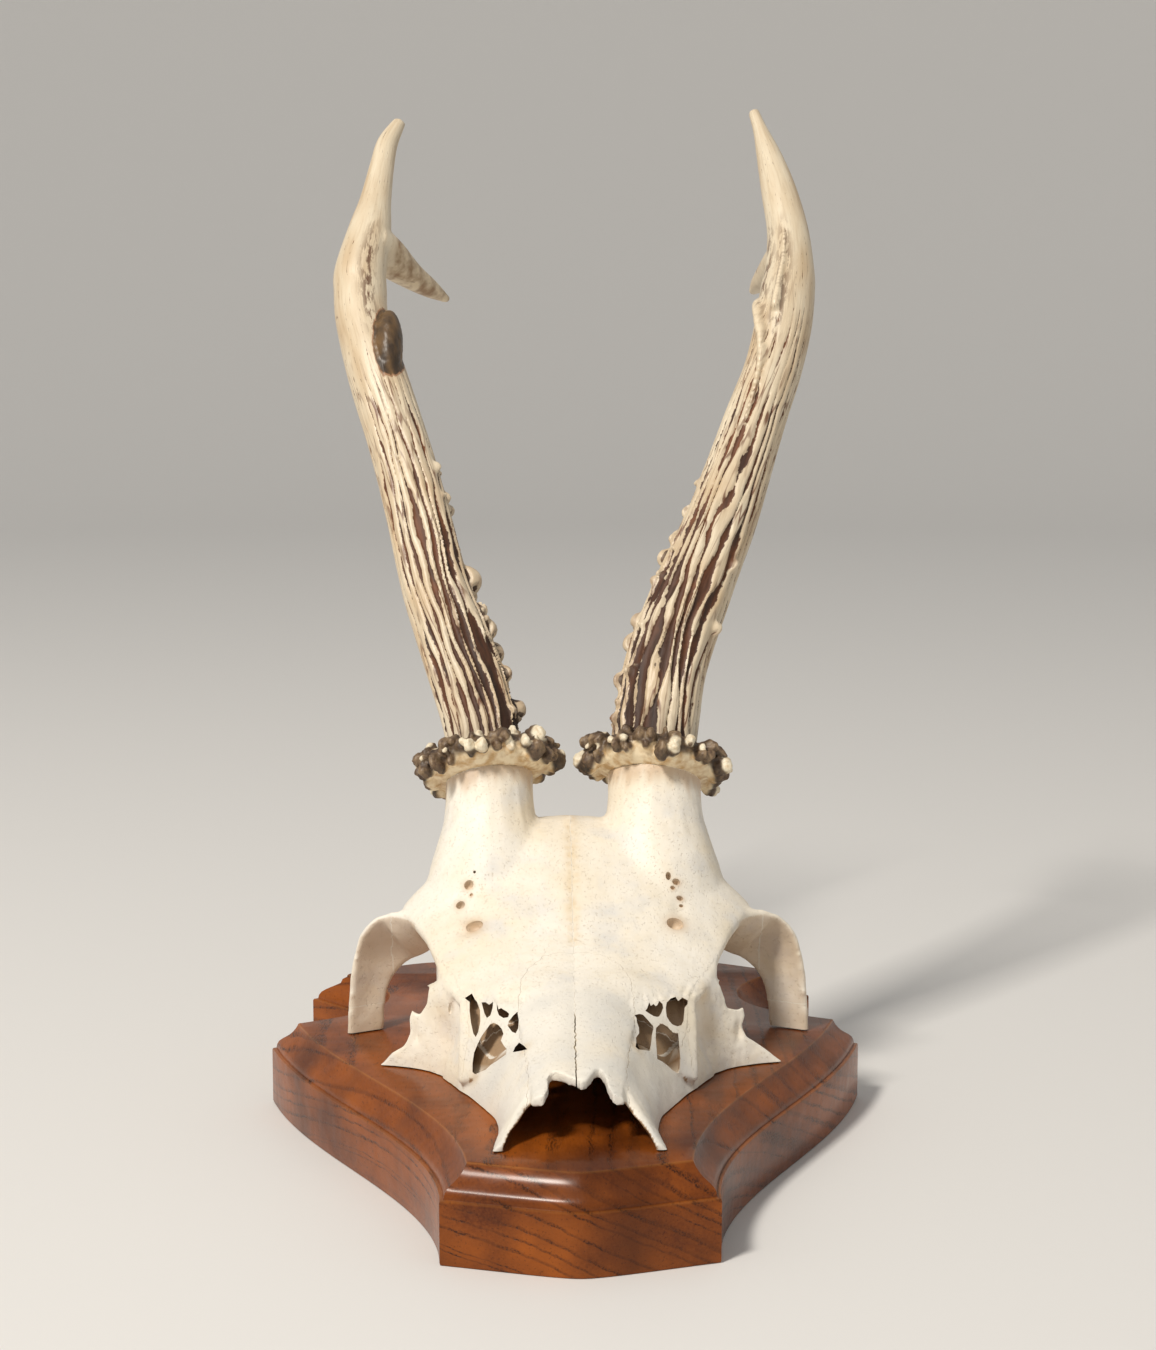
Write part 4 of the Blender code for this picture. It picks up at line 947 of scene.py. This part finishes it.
def pierce(skull):
    """Cut the holes, each leaning into the bone from the front and above."""
    shape = Shape()
    axis = unit(np.array((0.0, -0.72, 0.69)))
    for side, centre, wide, tall, deep in VESSEL_HOLES:
        across = np.array((1.0, 0.0, 0.0))
        shape.lump(np.array(centre) * (side, 1, 1), (wide / 2, tall / 2, deep),
                   (across, np.cross(axis, across), axis), 20, 14)
    carve(skull, shape.to_object("holes"))


def bone_relief(skull):
    """Unevenness, furrows and small hollows, pressed into the skin along its normals."""
    points = points_of(skull)
    normals = normals_of(skull)
    x, y, z = points.T
    lift = 0.16 * noise(points / 8.0, 1) + 0.05 * noise(points / 2.4, 2)
    # Fine fluting runs up the posts that carry the antlers.
    side = np.sign(x)
    post = np.hypot((np.abs(x) - CORONET_CENTRE[0]), y - (CORONET_CENTRE[1] - (71.0 - z) * 0.36))
    turn = np.arctan2(y - CORONET_CENTRE[1] + (71.0 - z) * 0.36, np.abs(x) - CORONET_CENTRE[0])
    on_post = smooth_step(54.0, 64.0, z) * (post < 14)
    fluted = np.column_stack([np.cos(turn) * 5.5, np.sin(turn) * 5.5, z / 12.0 + side * 9])
    lift += 0.14 * on_post * noise(fluted, 3)
    # The seam over the forehead is a shallow furrow that ends in a low bump.
    up = np.maximum(normals[:, 2], 0)
    lift -= 0.10 * up * np.exp(-(x / 0.8) ** 2) * (y < 14)
    lift += 0.6 * np.exp(-(x / 1.5) ** 2 - ((y - 17.5) / 3.5) ** 2)
    lift -= 0.35 * up * np.exp(-((np.abs(x) - 7.5) / 3.2) ** 2 - ((y + 6) / 7) ** 2)
    # The brow is slightly hollow between the eye sockets and the nose.
    lift -= 0.5 * up * near(np.column_stack([np.abs(x), y, z]), (13.5, -17.0, 37.5), 4.0)
    # A rounded pillar stands between the gap and the hollow before the eye socket.
    pillar = np.exp(-((np.abs(x) - 22.2) / 1.1) ** 2) * smooth_step(-15.0, -18.0, y) * (z < 34)
    lift += 0.5 * pillar * np.maximum(-normals[:, 1], 0)
    for side, centre, radii, depth in HOLLOWS:
        spot = (points - np.array(centre) * (side, 1, 1)) / np.array(radii)
        lift -= depth * np.exp(-np.sum(spot ** 2, axis=1)) * (normals[:, 1] < 0.1)
    # Worn teeth stand along the lower edge of the brow, over the lattice.
    brow = np.interp(np.abs(x), [9.0, 14.0, 18.0, 22.0], [35.4, 34.9, 34.6, 35.0])
    teeth = np.exp(-((z - brow) / 0.9) ** 2) * (np.abs(x) > 9.5) * (np.abs(x) < 24) * (y < -18)
    lift += 0.28 * teeth * noise(np.column_stack([x / 0.9, y / 3.0, z / 2.0]), 9)
    # The free edges are a little ragged, as broken and worn bone is.
    edge = smooth_step(-9.0, -12.0, y) * (np.abs(x) > 22) + smooth_step(-52.0, -56.0, y)
    lift += 0.07 * edge * noise(points / 1.2, 7)
    set_points(skull, points + normals * lift[:, None])


def bone_stains_and_shade(skull):
    """Where the bone is tan under the coronets and yellow with fat, with painted shade in tan on the eye
    sockets' inner faces and inside the vessel holes, and painted shade in brown inside the nose and behind
    the lattice.
    """
    points = points_of(skull)
    normals = normals_of(skull)
    x, y, z = points.T
    top = CORONET_CENTRE - CORONET_AXIS * (CORONET_THICKNESS / 2)
    spot = np.column_stack([np.abs(x), y, z]) - top
    below = -(spot @ CORONET_AXIS)
    turn = np.arctan2(spot[:, 1], spot[:, 0])
    ragged = 2.4 + 1.9 * noise(np.column_stack([np.cos(turn) * 4, np.sin(turn) * 4, np.sign(x) * 5]), 4)
    ragged += 0.8 * noise(np.column_stack([np.cos(turn) * 11, np.sin(turn) * 11, np.sign(x) * 5]), 5)
    tan = 0.5 * smooth_step(2.2, -1.8, below - ragged) * (z > 60)
    # Painted shade: the inner faces of the eye sockets that look downwards are tinted tan.
    inner_orbit = (np.abs(x) > 27.0) & (y > 4.0) & (y < 21.0) & (z < 42.5) & (normals[:, 1] < 0.2)
    tan = np.maximum(tan, 0.4 * inner_orbit * smooth_step(0.35, -0.2, normals[:, 2]))
    # Painted shade: the inside of each vessel hole is tinted tan.
    for side, centre, wide, tall, deep in VESSEL_HOLES:
        inward = np.array(centre) * (side, 1, 1) + np.array((0.0, 0.72, -0.69)) * 0.6
        spot = (points - inward) / np.array((wide * 0.62, wide * 0.5 + 0.4, tall * 0.62))
        tan = np.maximum(tan, 0.75 * np.exp(-np.sum(spot ** 2, axis=1)))
    for side, centre, radii, depth in HOLLOWS[3:5]:
        spot = (points - np.array(centre) * (side, 1, 1)) / np.array(radii)
        tan = np.maximum(tan, 0.22 * np.exp(-np.sum(spot ** 2, axis=1)))
    fat = 0.55 * near(points, (-27.4, -16.4, 29.4), 1.9) + 0.6 * near(points, (-18.6, -30.9, 21.2), 1.3)
    fat += 0.4 * near(points, (-9.0, -43.0, 29.4), 1.6) + 0.4 * near(points, (11.2, -40.4, 29.7), 1.8)
    fat += 0.4 * near(points, (-9.0, -60.0, 24.4), 1.2) + 0.35 * near(points, (24.0, -16.6, 33.0), 2.0)
    fat += 0.35 * near(points, (31.4, -12.8, 24.6), 1.2) + 0.35 * near(points, (-31.8, -12.8, 24.2), 1.2)
    fat += 0.38 * np.exp(-(x / 1.5) ** 2) * (y > -13) * (0.7 + 0.6 * noise(points / 1.2, 6))
    # Painted shade: brown inside the nose, on faces that look down or inwards, and on the wall behind the
    # lattice.
    inside = (y < -11.8) & (z < 36.5 - 0.28 * (-14.9 - y)) & (np.abs(x) < 20.5)
    facing_in = (normals[:, 2] < -0.15) | (normals[:, 0] * np.sign(x) < -0.45) | (y > -13.6)
    wall = np.array(GAP_WALL)
    wall_x = (wall[:, 0] + wall[:, 3]) / 2
    wall_y, wall_run, wall_z, wall_rise = [
        np.interp(np.abs(x), wall_x, values)
        for values in (wall[:, 4], wall[:, 1] - wall[:, 4], wall[:, 5], wall[:, 2] - wall[:, 5])]
    share = (z - wall_z) / wall_rise
    face = wall_y + share * wall_run
    behind = smooth_step(0.6, 2.2, y - face) * (y < -14) * (np.abs(x) > 9.5) * (np.abs(x) < 22) * (z < 34.5)
    hollow = np.maximum(0.9 * (inside & facing_in), 0.85 * behind * (normals[:, 2] < 0.8))
    cool = smooth_step(-22.0, -34.0, y) * np.clip(0.6 + 0.5 * noise(points / 7.0, 8), 0, 1)
    store(skull, "cool", cool)
    store(skull, "tan", np.clip(tan, 0, 1))
    store(skull, "fat", np.clip(fat, 0, 1))
    store(skull, "hollow", hollow)


def wavy_line(line, swing, seed):
    """A seam's line with small teeth, as bones grow together."""
    line = np.array(line, float)
    lengths = np.concatenate([[0], np.cumsum(np.linalg.norm(np.diff(line, axis=0), axis=1))])
    along = np.arange(0, lengths[-1], 0.3)
    points = np.column_stack([np.interp(along, lengths, line[:, k]) for k in range(2)])
    ahead = unit(np.gradient(points, axis=0))
    across = np.column_stack([-ahead[:, 1], ahead[:, 0]])
    cells = np.column_stack([along, np.zeros_like(along), np.zeros_like(along)])
    sway = noise(cells / 1.1, seed) + 0.8 * noise(cells / 3.2, seed + 1)
    fade = np.minimum(along, lengths[-1] - along).clip(0, 1)
    return points + across * (swing * sway * fade)[:, None]


def seam_cutter(line, swing, seed, side, width=SUTURE_WIDTH):
    points = wavy_line(line, swing, seed) * (side, 1)
    ahead = unit(np.gradient(points, axis=0))
    across = np.column_stack([-ahead[:, 1], ahead[:, 0]]) * width / 2
    return upright_cutter(np.vstack([points + across, (points - across)[::-1]]))


def box_cutter(low, high):
    x0, y0, z0 = low
    x1, y1, z1 = high
    return upright_cutter([(x0, y0), (x1, y0), (x1, y1), (x0, y1)], z0, z1)


def part_bones(skull, material):
    """Part the skull along its seams into the bones that the solids name."""
    carve(skull, box_cutter((-80, -90, -20), (80, 90, BONE_BASE)))
    for side in (-1, 1):
        axis = CORONET_AXIS * (side, 1, 1)
        top = CORONET_CENTRE * (side, 1, 1) - axis * (CORONET_THICKNESS / 2 + CORONET_GAP)
        plug = Shape()
        plug.loft(tube_rings([(*(top + axis * reach), 40.0) for reach in (0.0, 20.0)], 40, 1))
        carve(skull, plug.to_object("plug"))
        for seed, (line, swing, width) in enumerate((
                (NASAL_SUTURE, 0.35, 0.06), (FRONTAL_EDGE, 0.5, SUTURE_WIDTH),
                (LACRIMAL_EDGE, 0.35, SUTURE_WIDTH), (GAP_FLOOR, 0.25, SUTURE_WIDTH),
                (CORONAL_SUTURE, 0.6, 0.08), (ORBIT_CUT, 0.4, 0.02))):
            carve(skull, seam_cutter(line, swing, 20 + seed * 2 + (40 if side > 0 else 0), side, width))
        inner, outer = sorted((37.0 * side, 53.0 * side))
        carve(skull, box_cutter((inner, 5.0, ORBIT_FOOT_HEIGHT), (outer, 27.0, ORBIT_FOOT_HEIGHT + 0.02)))
    carve(skull, seam_cutter(MIDLINE, 0.3, 90, 1))
    carve(skull, seam_cutter(MIDLINE[:1] + [(0.0, -37.0)], 0.3, 90, 1, 0.26))
    label = loose_parts(skull)
    points = points_of(skull)
    best = {}
    for part in np.unique(label):
        mine = label == part
        if mine.sum() < 200:
            continue
        middle = points[mine].mean(axis=0)
        side = "_left" if middle[0] < 0 else "_right"
        place = middle * (-1 if middle[0] < 0 else 1, 1, 1)
        bone = min(BONES, key=lambda key: np.linalg.norm(np.array(BONES[key]) - place))
        if mine.sum() > best.get(bone + side, (0, None))[0]:
            best[bone + side] = (mine.sum(), mine)
    for name, (_, mine) in sorted(best.items()):
        bone, side = name.rsplit("_", 1)
        piece = piece_of(skull, mine, bone + "_bone_" + side)
        place = points_of(piece)
        place[:, 0] = natural_x(place[:, 0], place[:, 1])
        set_points(piece, place)
        dress(piece, material, [name], 50.0)
    bpy.data.objects.remove(skull, do_unlink=True)


def make_skull():
    skull = skull_skin()
    cut_edges(skull)
    bone_relief(skull)
    cut_windows(skull)
    pierce(skull)
    bone_stains_and_shade(skull)
    part_bones(skull, bleached_bone())


# The antlers


# Each station of a beam: its centre and its width, from the coronet to the tip.
LEFT_BEAM = [
    (-16.6, 26.4, 74.2, 15.8), (-17.6, 28.4, 79.0, 15.4), (-20.0, 32.2, 87.0, 15.4),
    (-24.0, 38.0, 98.0, 14.8), (-27.3, 43.5, 107.0, 14.0), (-31.2, 53.0, 122.0, 13.4),
    (-35.2, 61.5, 135.5, 13.0), (-39.8, 70.0, 149.0, 12.8), (-43.4, 78.5, 161.0, 11.8),
    (-44.1, 83.5, 168.0, 11.8), (-44.1, 86.0, 172.2, 11.6), (-42.2, 92.0, 181.5, 9.6),
    (-41.1, 96.5, 188.0, 7.2), (-39.8, 102.0, 196.0, 5.6), (-38.6, 105.6, 201.4, 4.8),
    (-35.9, 109.2, 206.4, 2.9),
]
LEFT_REAR_TINE = [
    (-42.5, 90.0, 178.6, 10.6), (-38.4, 94.0, 175.6, 9.2), (-33.6, 99.6, 171.6, 6.4),
    (-29.2, 105.0, 168.6, 4.4), (-25.2, 110.0, 166.0, 1.6),
]
RIGHT_BEAM = [
    (18.0, 26.2, 74.0, 17.6), (18.9, 28.2, 80.0, 17.4), (21.2, 33.0, 91.0, 17.0),
    (26.4, 41.0, 103.5, 16.4), (30.4, 46.6, 112.0, 15.6), (34.6, 52.4, 121.0, 14.8),
    (42.2, 65.0, 140.0, 13.2), (46.6, 72.0, 150.5, 12.6), (49.4, 77.6, 160.0, 12.6),
    (50.9, 83.0, 167.8, 12.2), (51.6, 86.0, 172.0, 11.2), (51.7, 91.5, 181.0, 9.4),
    (50.2, 97.8, 190.5, 8.0), (48.5, 103.4, 198.4, 5.8), (46.8, 107.4, 204.6, 3.4),
    (45.4, 110.0, 209.0, 2.5),
]
RIGHT_REAR_TINE = [
    (52.0, 89.0, 176.0, 10.0), (50.2, 95.5, 173.6, 8.4), (48.4, 101.0, 171.6, 6.2),
    (46.8, 106.0, 169.6, 4.2), (45.4, 110.0, 167.8, 1.6),
]
# Blunt front tines: centre, half sizes, and tilt about X in degrees.
LEFT_STUB = ((-37.4, 70.4, 156.0), (3.1, 4.4, 8.8), -32.0)
RIGHT_STUB = ((47.9, 77.0, 166.0), (1.4, 1.8, 2.2), -30.0)
# Large pearls: height, angle from the midline round to the rear, and how far each stands out.
LEFT_PEARLS = [
    (121.0, 10, 1.5), (106.0, 5, 3.2), (96.0, 0, 2.2), (92.0, 20, 2.6), (86.5, -10, 1.7), (80.5, 5, 2.6),
    (103.5, 22, 1.8), (99.0, -8, 1.5),
]
RIGHT_PEARLS = [
    (119.5, 10, 1.5), (109.5, 5, 2.1), (104.5, 25, 1.6), (97.0, 0, 1.8), (93.5, 15, 2.3), (86.0, -5, 1.7),
    (110.3, 216, 1.4), (98.4, 205, 1.7), (112.5, -15, 1.3),
]
# Two low front tines on the right that run out into long ribs: height, angle and size.
RIGHT_RIDGES = [
    [(164.2, -12, 0.9), (162.4, -20, 1.8), (158.6, -36, 1.9),
     (153.4, -54, 1.5), (146.0, -70, 1.1), (136.0, -80, 0.7)],
    [(161.6, -68, 1.7), (165.0, -69, 1.4), (169.0, -70, 1.1), (173.0, -71, 0.9), (178.0, -72, 0.6)],
]
SMALL_PEARLS = 46
BEAM_RADIUS = 7.2
# The height that the ribs reach on the left and on the right.
RIB_TOPS = {-1: 152.0, 1: 164.0}
RIB_COUNT = 22
# The angle at the smooth outer side where the count of ribs starts, in radians.
RIB_SEAM = 2.3


def pearl_places(large, draw):
    """The large pearls, and small ones strewn over the inner and rear sides, most near the foot."""
    places = list(large)
    for _ in range(SMALL_PEARLS):
        height = 78.0 + 55.0 * draw.random() ** 1.7
        angle = draw.choice((draw.uniform(-45, 60), draw.uniform(40, 150)))
        places.append((height, angle, draw.uniform(0.55, 1.5)))
    return places


class Beam:
    """The centre line of a beam, to read a place along it and round it."""

    def __init__(self, stations, side):
        self.rows = smooth_rows(stations, 24)
        self.side = side
        self.centres = self.rows[:, :3]
        steps = np.linalg.norm(np.diff(self.centres, axis=0), axis=1)
        self.along = np.concatenate([[0], np.cumsum(steps)])
        self.axis = unit(np.gradient(self.centres, axis=0))
        inward = np.array((-side, 0.0, 0.0))
        self.across = unit(inward - self.axis * (self.axis @ inward)[:, None])
        self.rear = np.cross(self.axis, self.across) * -side

    def out_at(self, height, degrees):
        """The surface point at a height and an angle, and the direction out of it."""
        k = int(np.argmin(np.abs(self.centres[:, 2] - height)))
        angle = math.radians(degrees)
        out = self.across[k] * math.cos(angle) + self.rear[k] * math.sin(angle)
        return self.centres[k] + out * self.rows[k, 3] / 2, out, self.axis[k]

    def read(self, points):
        """Each point's distance along the beam, its angle, and its distance from the surface."""
        best = np.zeros(len(points), np.int64)
        for start in range(0, len(points), 20000):
            block = points[start:start + 20000]
            gaps = np.sum((block[:, None] - self.centres[None]) ** 2, axis=2)
            best[start:start + 20000] = np.argmin(gaps, axis=1)
        spot = points - self.centres[best]
        along = self.along[best] + np.sum(spot * self.axis[best], axis=1)
        cosine = np.sum(spot * self.across[best], axis=1)
        sine = np.sum(spot * self.rear[best], axis=1)
        reach = np.hypot(cosine, sine)
        return along, np.arctan2(sine, cosine), reach - self.rows[best, 3] / 2


def antler_skin(beam, stations, tine, stub, pearls):
    """The bare form of an antler above its coronet: beam, tines and pearls in one skin."""
    shape = Shape()
    shape.loft(tube_rings(stations, 48, 8))
    shape.loft(tube_rings(tine, 32, 8))
    centre, radii, tilt = stub
    turn = np.array(Matrix.Rotation(math.radians(tilt), 3, "X")).T
    shape.lump(centre, radii, turn, 28, 20)
    for height, degrees, size in pearls:
        spot, out, axis = beam.out_at(height, degrees)
        side = np.cross(out, axis)
        shape.lump(spot - out * size * 0.2, (size * 1.2, size * 0.72, size * 1.1), (out, side, axis), 14, 10)
    antler = shape.to_object("antler")
    skin_over(antler, ANTLER_VOXEL)
    soften(antler, 5)
    return antler


def antler_relief(antler, beam, pearls, stub, seed):
    """Ribs and grooves that wander up the beam, and the values that its colours follow."""
    points = points_of(antler)
    normals = normals_of(antler)
    along, angle, gap = beam.read(points)
    height = points[:, 2]
    around = np.column_stack([np.cos(angle), np.sin(angle)])
    wander = noise(np.column_stack([around * 1.2, along / 30.0]), seed + 5)
    turned = np.mod(angle + wander * 0.12 - RIB_SEAM, math.tau)
    around = around * BEAM_RADIUS
    # Furrows lie where the phase is a whole number, and the ribs between them.
    phase = turned * RIB_COUNT / math.tau + 0.6 * noise(np.column_stack([around / 5.0, along / 26.0]), seed)
    phase += 0.25 * noise(np.column_stack([around / 2.0, along / 8.0]), seed + 1)
    furrow = np.round(phase)
    valley = np.abs(phase - furrow)
    cells = np.column_stack([np.mod(furrow, RIB_COUNT) * 5.3, along / 8.0, np.full(len(points), 0.4)])
    opened = np.clip(0.5 + 0.9 * noise(cells, seed + 6), 0.0, 1.0)
    grain = noise(np.column_stack([around / 0.6, along / 1.7]), seed + 2)
    # The inner and front sides are the roughest, and the outer side and the tips are smooth.
    facing = 0.5 + 0.5 * np.cos(angle + 0.7)
    upper = RIB_TOPS[beam.side]
    rough = smooth_step(upper + 12.0, upper - 62.0, height) ** 0.8 * (0.36 + 0.64 * facing)
    rough *= smooth_step(-1.5, 3.0, along) * smooth_step(2.6, 0.8, gap)
    rough *= 1 + 0.35 * noise(np.column_stack([around / 5.0, along / 14.0]), seed + 4)
    rough *= smooth_step(0.06, 0.16, np.minimum(turned, math.tau - turned))
    inner = np.maximum(np.cos(angle + 0.2), 0) * smooth_step(132.0, 92.0, height)
    width = rough * (0.46 * opened + 0.04 + 0.14 * inner) + 0.05 * rough * grain
    groove = smooth_step(-0.10, 0.08, width - valley) * smooth_step(0.03, 0.14, rough)
    tip = np.zeros(len(points))
    for place, degrees, size in pearls:
        spot, out, _ = beam.out_at(place, degrees)
        tip = np.maximum(tip, near(points, spot + out * size * 0.8, size * 0.6))
    groove *= 1 - 0.9 * tip
    width = width * (1 - tip) - 0.3 * tip
    lift = -0.6 * groove * (0.35 + 0.65 * rough) + 0.06 * grain * (0.1 + rough) + 0.5 * rough * valley
    centre, radii, tilt = stub
    turn = np.array(Matrix.Rotation(math.radians(tilt), 3, "X"))
    reach = np.linalg.norm((points - np.array(centre)) @ turn / np.array(radii), axis=1)
    on_stub = smooth_step(1.42, 1.02, reach)
    lift = lift * (1 - on_stub) + 0.12 * on_stub * noise(points / 1.1, seed + 3)
    set_points(antler, points + normals * lift[:, None])
    dark = smooth_step(136.0, 84.0, height) * (0.30 + 0.70 * (0.5 + 0.5 * np.cos(angle - 0.3)))
    store(antler, "phase", phase)
    store(antler, "width", width * (1 - on_stub) - 0.3 * on_stub)
    store(antler, "rough", rough)
    bands = np.exp(-((angle + 1.25) / 0.22) ** 2)
    bands += 0.9 * (beam.side > 0) * np.exp(-((angle + 0.45) / 0.25) ** 2)
    bands = np.clip(bands, 0, 1) * smooth_step(154.0, 163.0, height) * smooth_step(186.0, 176.0, height)
    store(antler, "stain", bands)
    tine = smooth_step(0.9, 2.2, gap) * smooth_step(160.0, 164.0, height)
    store(antler, "tine", tine * (1.0 if beam.side < 0 else 0.25))
    store(antler, "dark", np.clip(dark, 0, 1))
    store(antler, "tip", np.clip(tip, 0, 1))
    store(antler, "stub", on_stub * (1.0 if beam.side < 0 else 0.0))
    store(antler, "run", np.column_stack([around, along]))


def make_antler(side, label, stations, tine, stub, large, material):
    draw = random.Random(31 + side)
    beam = Beam(stations, side)
    pearls = pearl_places(large, draw)
    antler = antler_skin(beam, stations, tine, stub, pearls)
    antler_relief(antler, beam, pearls, stub, 50 + side * 7)
    foot, axis = coronet_place(side)
    plug = Shape()
    start = foot + axis * (CORONET_THICKNESS / 2 + CORONET_GAP)
    plug.loft(tube_rings([(*(start - axis * reach), 60.0) for reach in (0.0, 20.0)], 40, 1))
    carve(antler, plug.to_object("plug"))
    antler.name = "antler_" + label
    dress(antler, material,
          ["antler_beam_" + label, "antler_tip_" + label, "rear_tine_" + label], 60.0)


# The coronets


# Rows of knobs: how many, distance from the axis, height above the middle, and size.
KNOB_ROWS = [(24, 14.2, -0.8, 2.0), (22, 13.7, 1.7, 1.9), (17, 11.8, 3.0, 1.3), (26, 15.0, 0.4, 0.85)]
# The flared core of a coronet: radius and height.
CORONET_CORE = [
    (9.5, -3.0), (10.4, -2.7), (11.8, -1.9), (13.0, -0.6), (13.4, 0.8), (12.8, 2.0), (11.4, 2.8), (9.0, 3.0),
]


def coronet_place(side):
    """The centre of a coronet and the direction that it faces, over the top of its pedicle."""
    x = float(natural_x(np.array(CORONET_CENTRE[0] * side), np.array(CORONET_CENTRE[1])))
    return np.array((x, CORONET_CENTRE[1], CORONET_CENTRE[2])), CORONET_AXIS * (side, 1, 1)


def make_coronet(side, label, material):
    """The knobbly burr at an antler's foot, smooth and pale underneath."""
    draw = random.Random(70 + side)
    centre, axis = coronet_place(side)
    across = unit(np.cross(axis, (0, 1, 0)))
    rear = np.cross(across, axis)
    shape = Shape()
    turn = np.arange(72) * math.tau / 72
    sway = 1 + 0.045 * np.sin(3 * turn + side) + 0.035 * np.sin(7 * turn + 2 * side)
    spread = across * np.cos(turn)[:, None] + -rear * np.sin(turn)[:, None]
    shape.loft([centre + spread * (radius * sway)[:, None] + axis * height
                for radius, height in CORONET_CORE])
    tips = []
    for count, reach, lift, size in KNOB_ROWS:
        for k in range(count):
            angle = math.tau * (k + draw.uniform(-0.4, 0.4)) / count
            out = across * math.cos(angle) - rear * math.sin(angle)
            wave = 1 + 0.045 * math.sin(3 * angle + side) + 0.035 * math.sin(7 * angle + 2 * side)
            spot = centre + out * (reach * wave - 0.9 + draw.uniform(-0.8, 0.7))
            spot = spot + axis * (lift + draw.uniform(-0.8, 0.8))
            lean = unit(out + axis * draw.uniform(-0.5, 0.6))
            beside = unit(np.cross(axis, lean))
            own = size * draw.uniform(0.7, 1.25)
            shape.lump(spot, (own * 1.25, own * draw.uniform(0.5, 0.8), own * draw.uniform(0.7, 1.2)),
                       (lean, beside, np.cross(lean, beside)), 14, 10)
            tips.append((spot + lean * own, own * 0.95, draw.random() < (0.8 if size < 1.0 else 0.3)))
    coronet = shape.to_object("coronet_burr_" + label)
    skin_over(coronet, CORONET_VOXEL)
    soften(coronet, 3)
    points = points_of(coronet)
    normals = normals_of(coronet)
    local = points - centre
    height = local @ axis
    reach = np.linalg.norm(local - np.outer(height, axis), axis=1)
    under = smooth_step(0.1, -0.4, normals @ axis) * smooth_step(13.6, 12.6, reach) * (height < 0.5)
    lift = (0.34 * noise(points / 1.5, 80) + 0.16 * noise(points / 0.7, 81)) * (1 - 0.8 * under)
    set_points(coronet, points + normals * lift[:, None])
    # Partly wear and partly painted highlight: the ends of the knobs are made paler, and some of them ivory.
    tip = np.zeros(len(points))
    worn_and_highlit = np.zeros(len(points))
    for spot, radius, bright in tips:
        close = near(points, spot, radius)
        worn_and_highlit = np.maximum(worn_and_highlit, 0.6 * near(points, spot, radius * 1.1))
        if bright:
            tip = np.maximum(tip, smooth_step(0.3, 0.5, close))
    store(coronet, "tip", tip)
    store(coronet, "worn_and_highlit", worn_and_highlit)
    store(coronet, "under", under)
    dress(coronet, material, ["coronet_" + label], 60.0)


# Stage


def make_floor():
    """A pale round floor whose rim curves up far behind the mount, all in one sweep."""
    shape = Shape()
    turn = np.arange(96) * math.tau / 96
    circle = np.column_stack([np.cos(turn), np.sin(turn)])
    bend = np.linspace(0, math.pi / 2, 16)
    profile = [(1.0, 0.0), (900.0, 0.0)] + [(1500 + 900 * math.sin(a), 900 - 900 * math.cos(a)) for a in bend]
    rings = [np.column_stack([circle * radius, np.full(len(turn), height)]) for radius, height in profile]
    shape.loft(rings)
    shape.faces.pop()
    floor = shape.to_object("floor")
    floor.data.materials.append(new_material("pale_floor", 0.6, 1.4, {"Base Color": srgb("#E2E1DF")})[0])
    for polygon in floor.data.polygons:
        polygon.use_smooth = True


def make_light(name, place, aim, power, size, colour):
    data = bpy.data.lights.new(name, "AREA")
    data.energy = power
    data.size = size
    data.color = srgb(colour)[:3]
    light = bpy.data.objects.new(name, data)
    light.location = place
    light.rotation_euler = (Vector(aim) - Vector(place)).to_track_quat("-Z", "Y").to_euler()
    bpy.context.scene.collection.objects.link(light)


def make_lights():
    world = bpy.data.worlds.new("studio")
    world.use_nodes = True
    backdrop = world.node_tree.nodes["Background"]
    backdrop.inputs["Color"].default_value = srgb("#EDEBE8")
    backdrop.inputs["Strength"].default_value = 0.46
    bpy.context.scene.world = world
    make_light("key", (-0.7, -0.85, 1.35), (0.0, 0.03, 0.08), 25.5, 0.28, "#FFF8EE")


def make_camera():
    bpy.context.scene.view_settings.view_transform = "Standard"
    data = bpy.data.cameras.new("camera")
    data.sensor_fit = "VERTICAL"
    data.sensor_height = 36.0
    data.lens = FOCAL_PIXELS / PHOTO_HEIGHT * data.sensor_height
    data.clip_start = 0.01
    camera = bpy.data.objects.new("camera", data)
    camera.location = [value * MM for value in CAMERA_PLACE]
    camera.rotation_euler = (math.radians(90 - CAMERA_PITCH), 0, math.radians(-CAMERA_YAW))
    bpy.context.scene.collection.objects.link(camera)
    bpy.context.scene.camera = camera


def main():
    make_camera()
    make_shield()
    make_skull()
    antler = pearled_antler()
    make_antler(-1, "left", LEFT_BEAM, LEFT_REAR_TINE, LEFT_STUB, LEFT_PEARLS, antler)
    ridges = [row for ridge in RIGHT_RIDGES for row in smooth_rows(ridge, 5).tolist()]
    make_antler(1, "right", RIGHT_BEAM, RIGHT_REAR_TINE, RIGHT_STUB, RIGHT_PEARLS + ridges, antler)
    burr = coronet_antler()
    make_coronet(-1, "left", burr)
    make_coronet(1, "right", burr)
    make_floor()
    make_lights()


main()
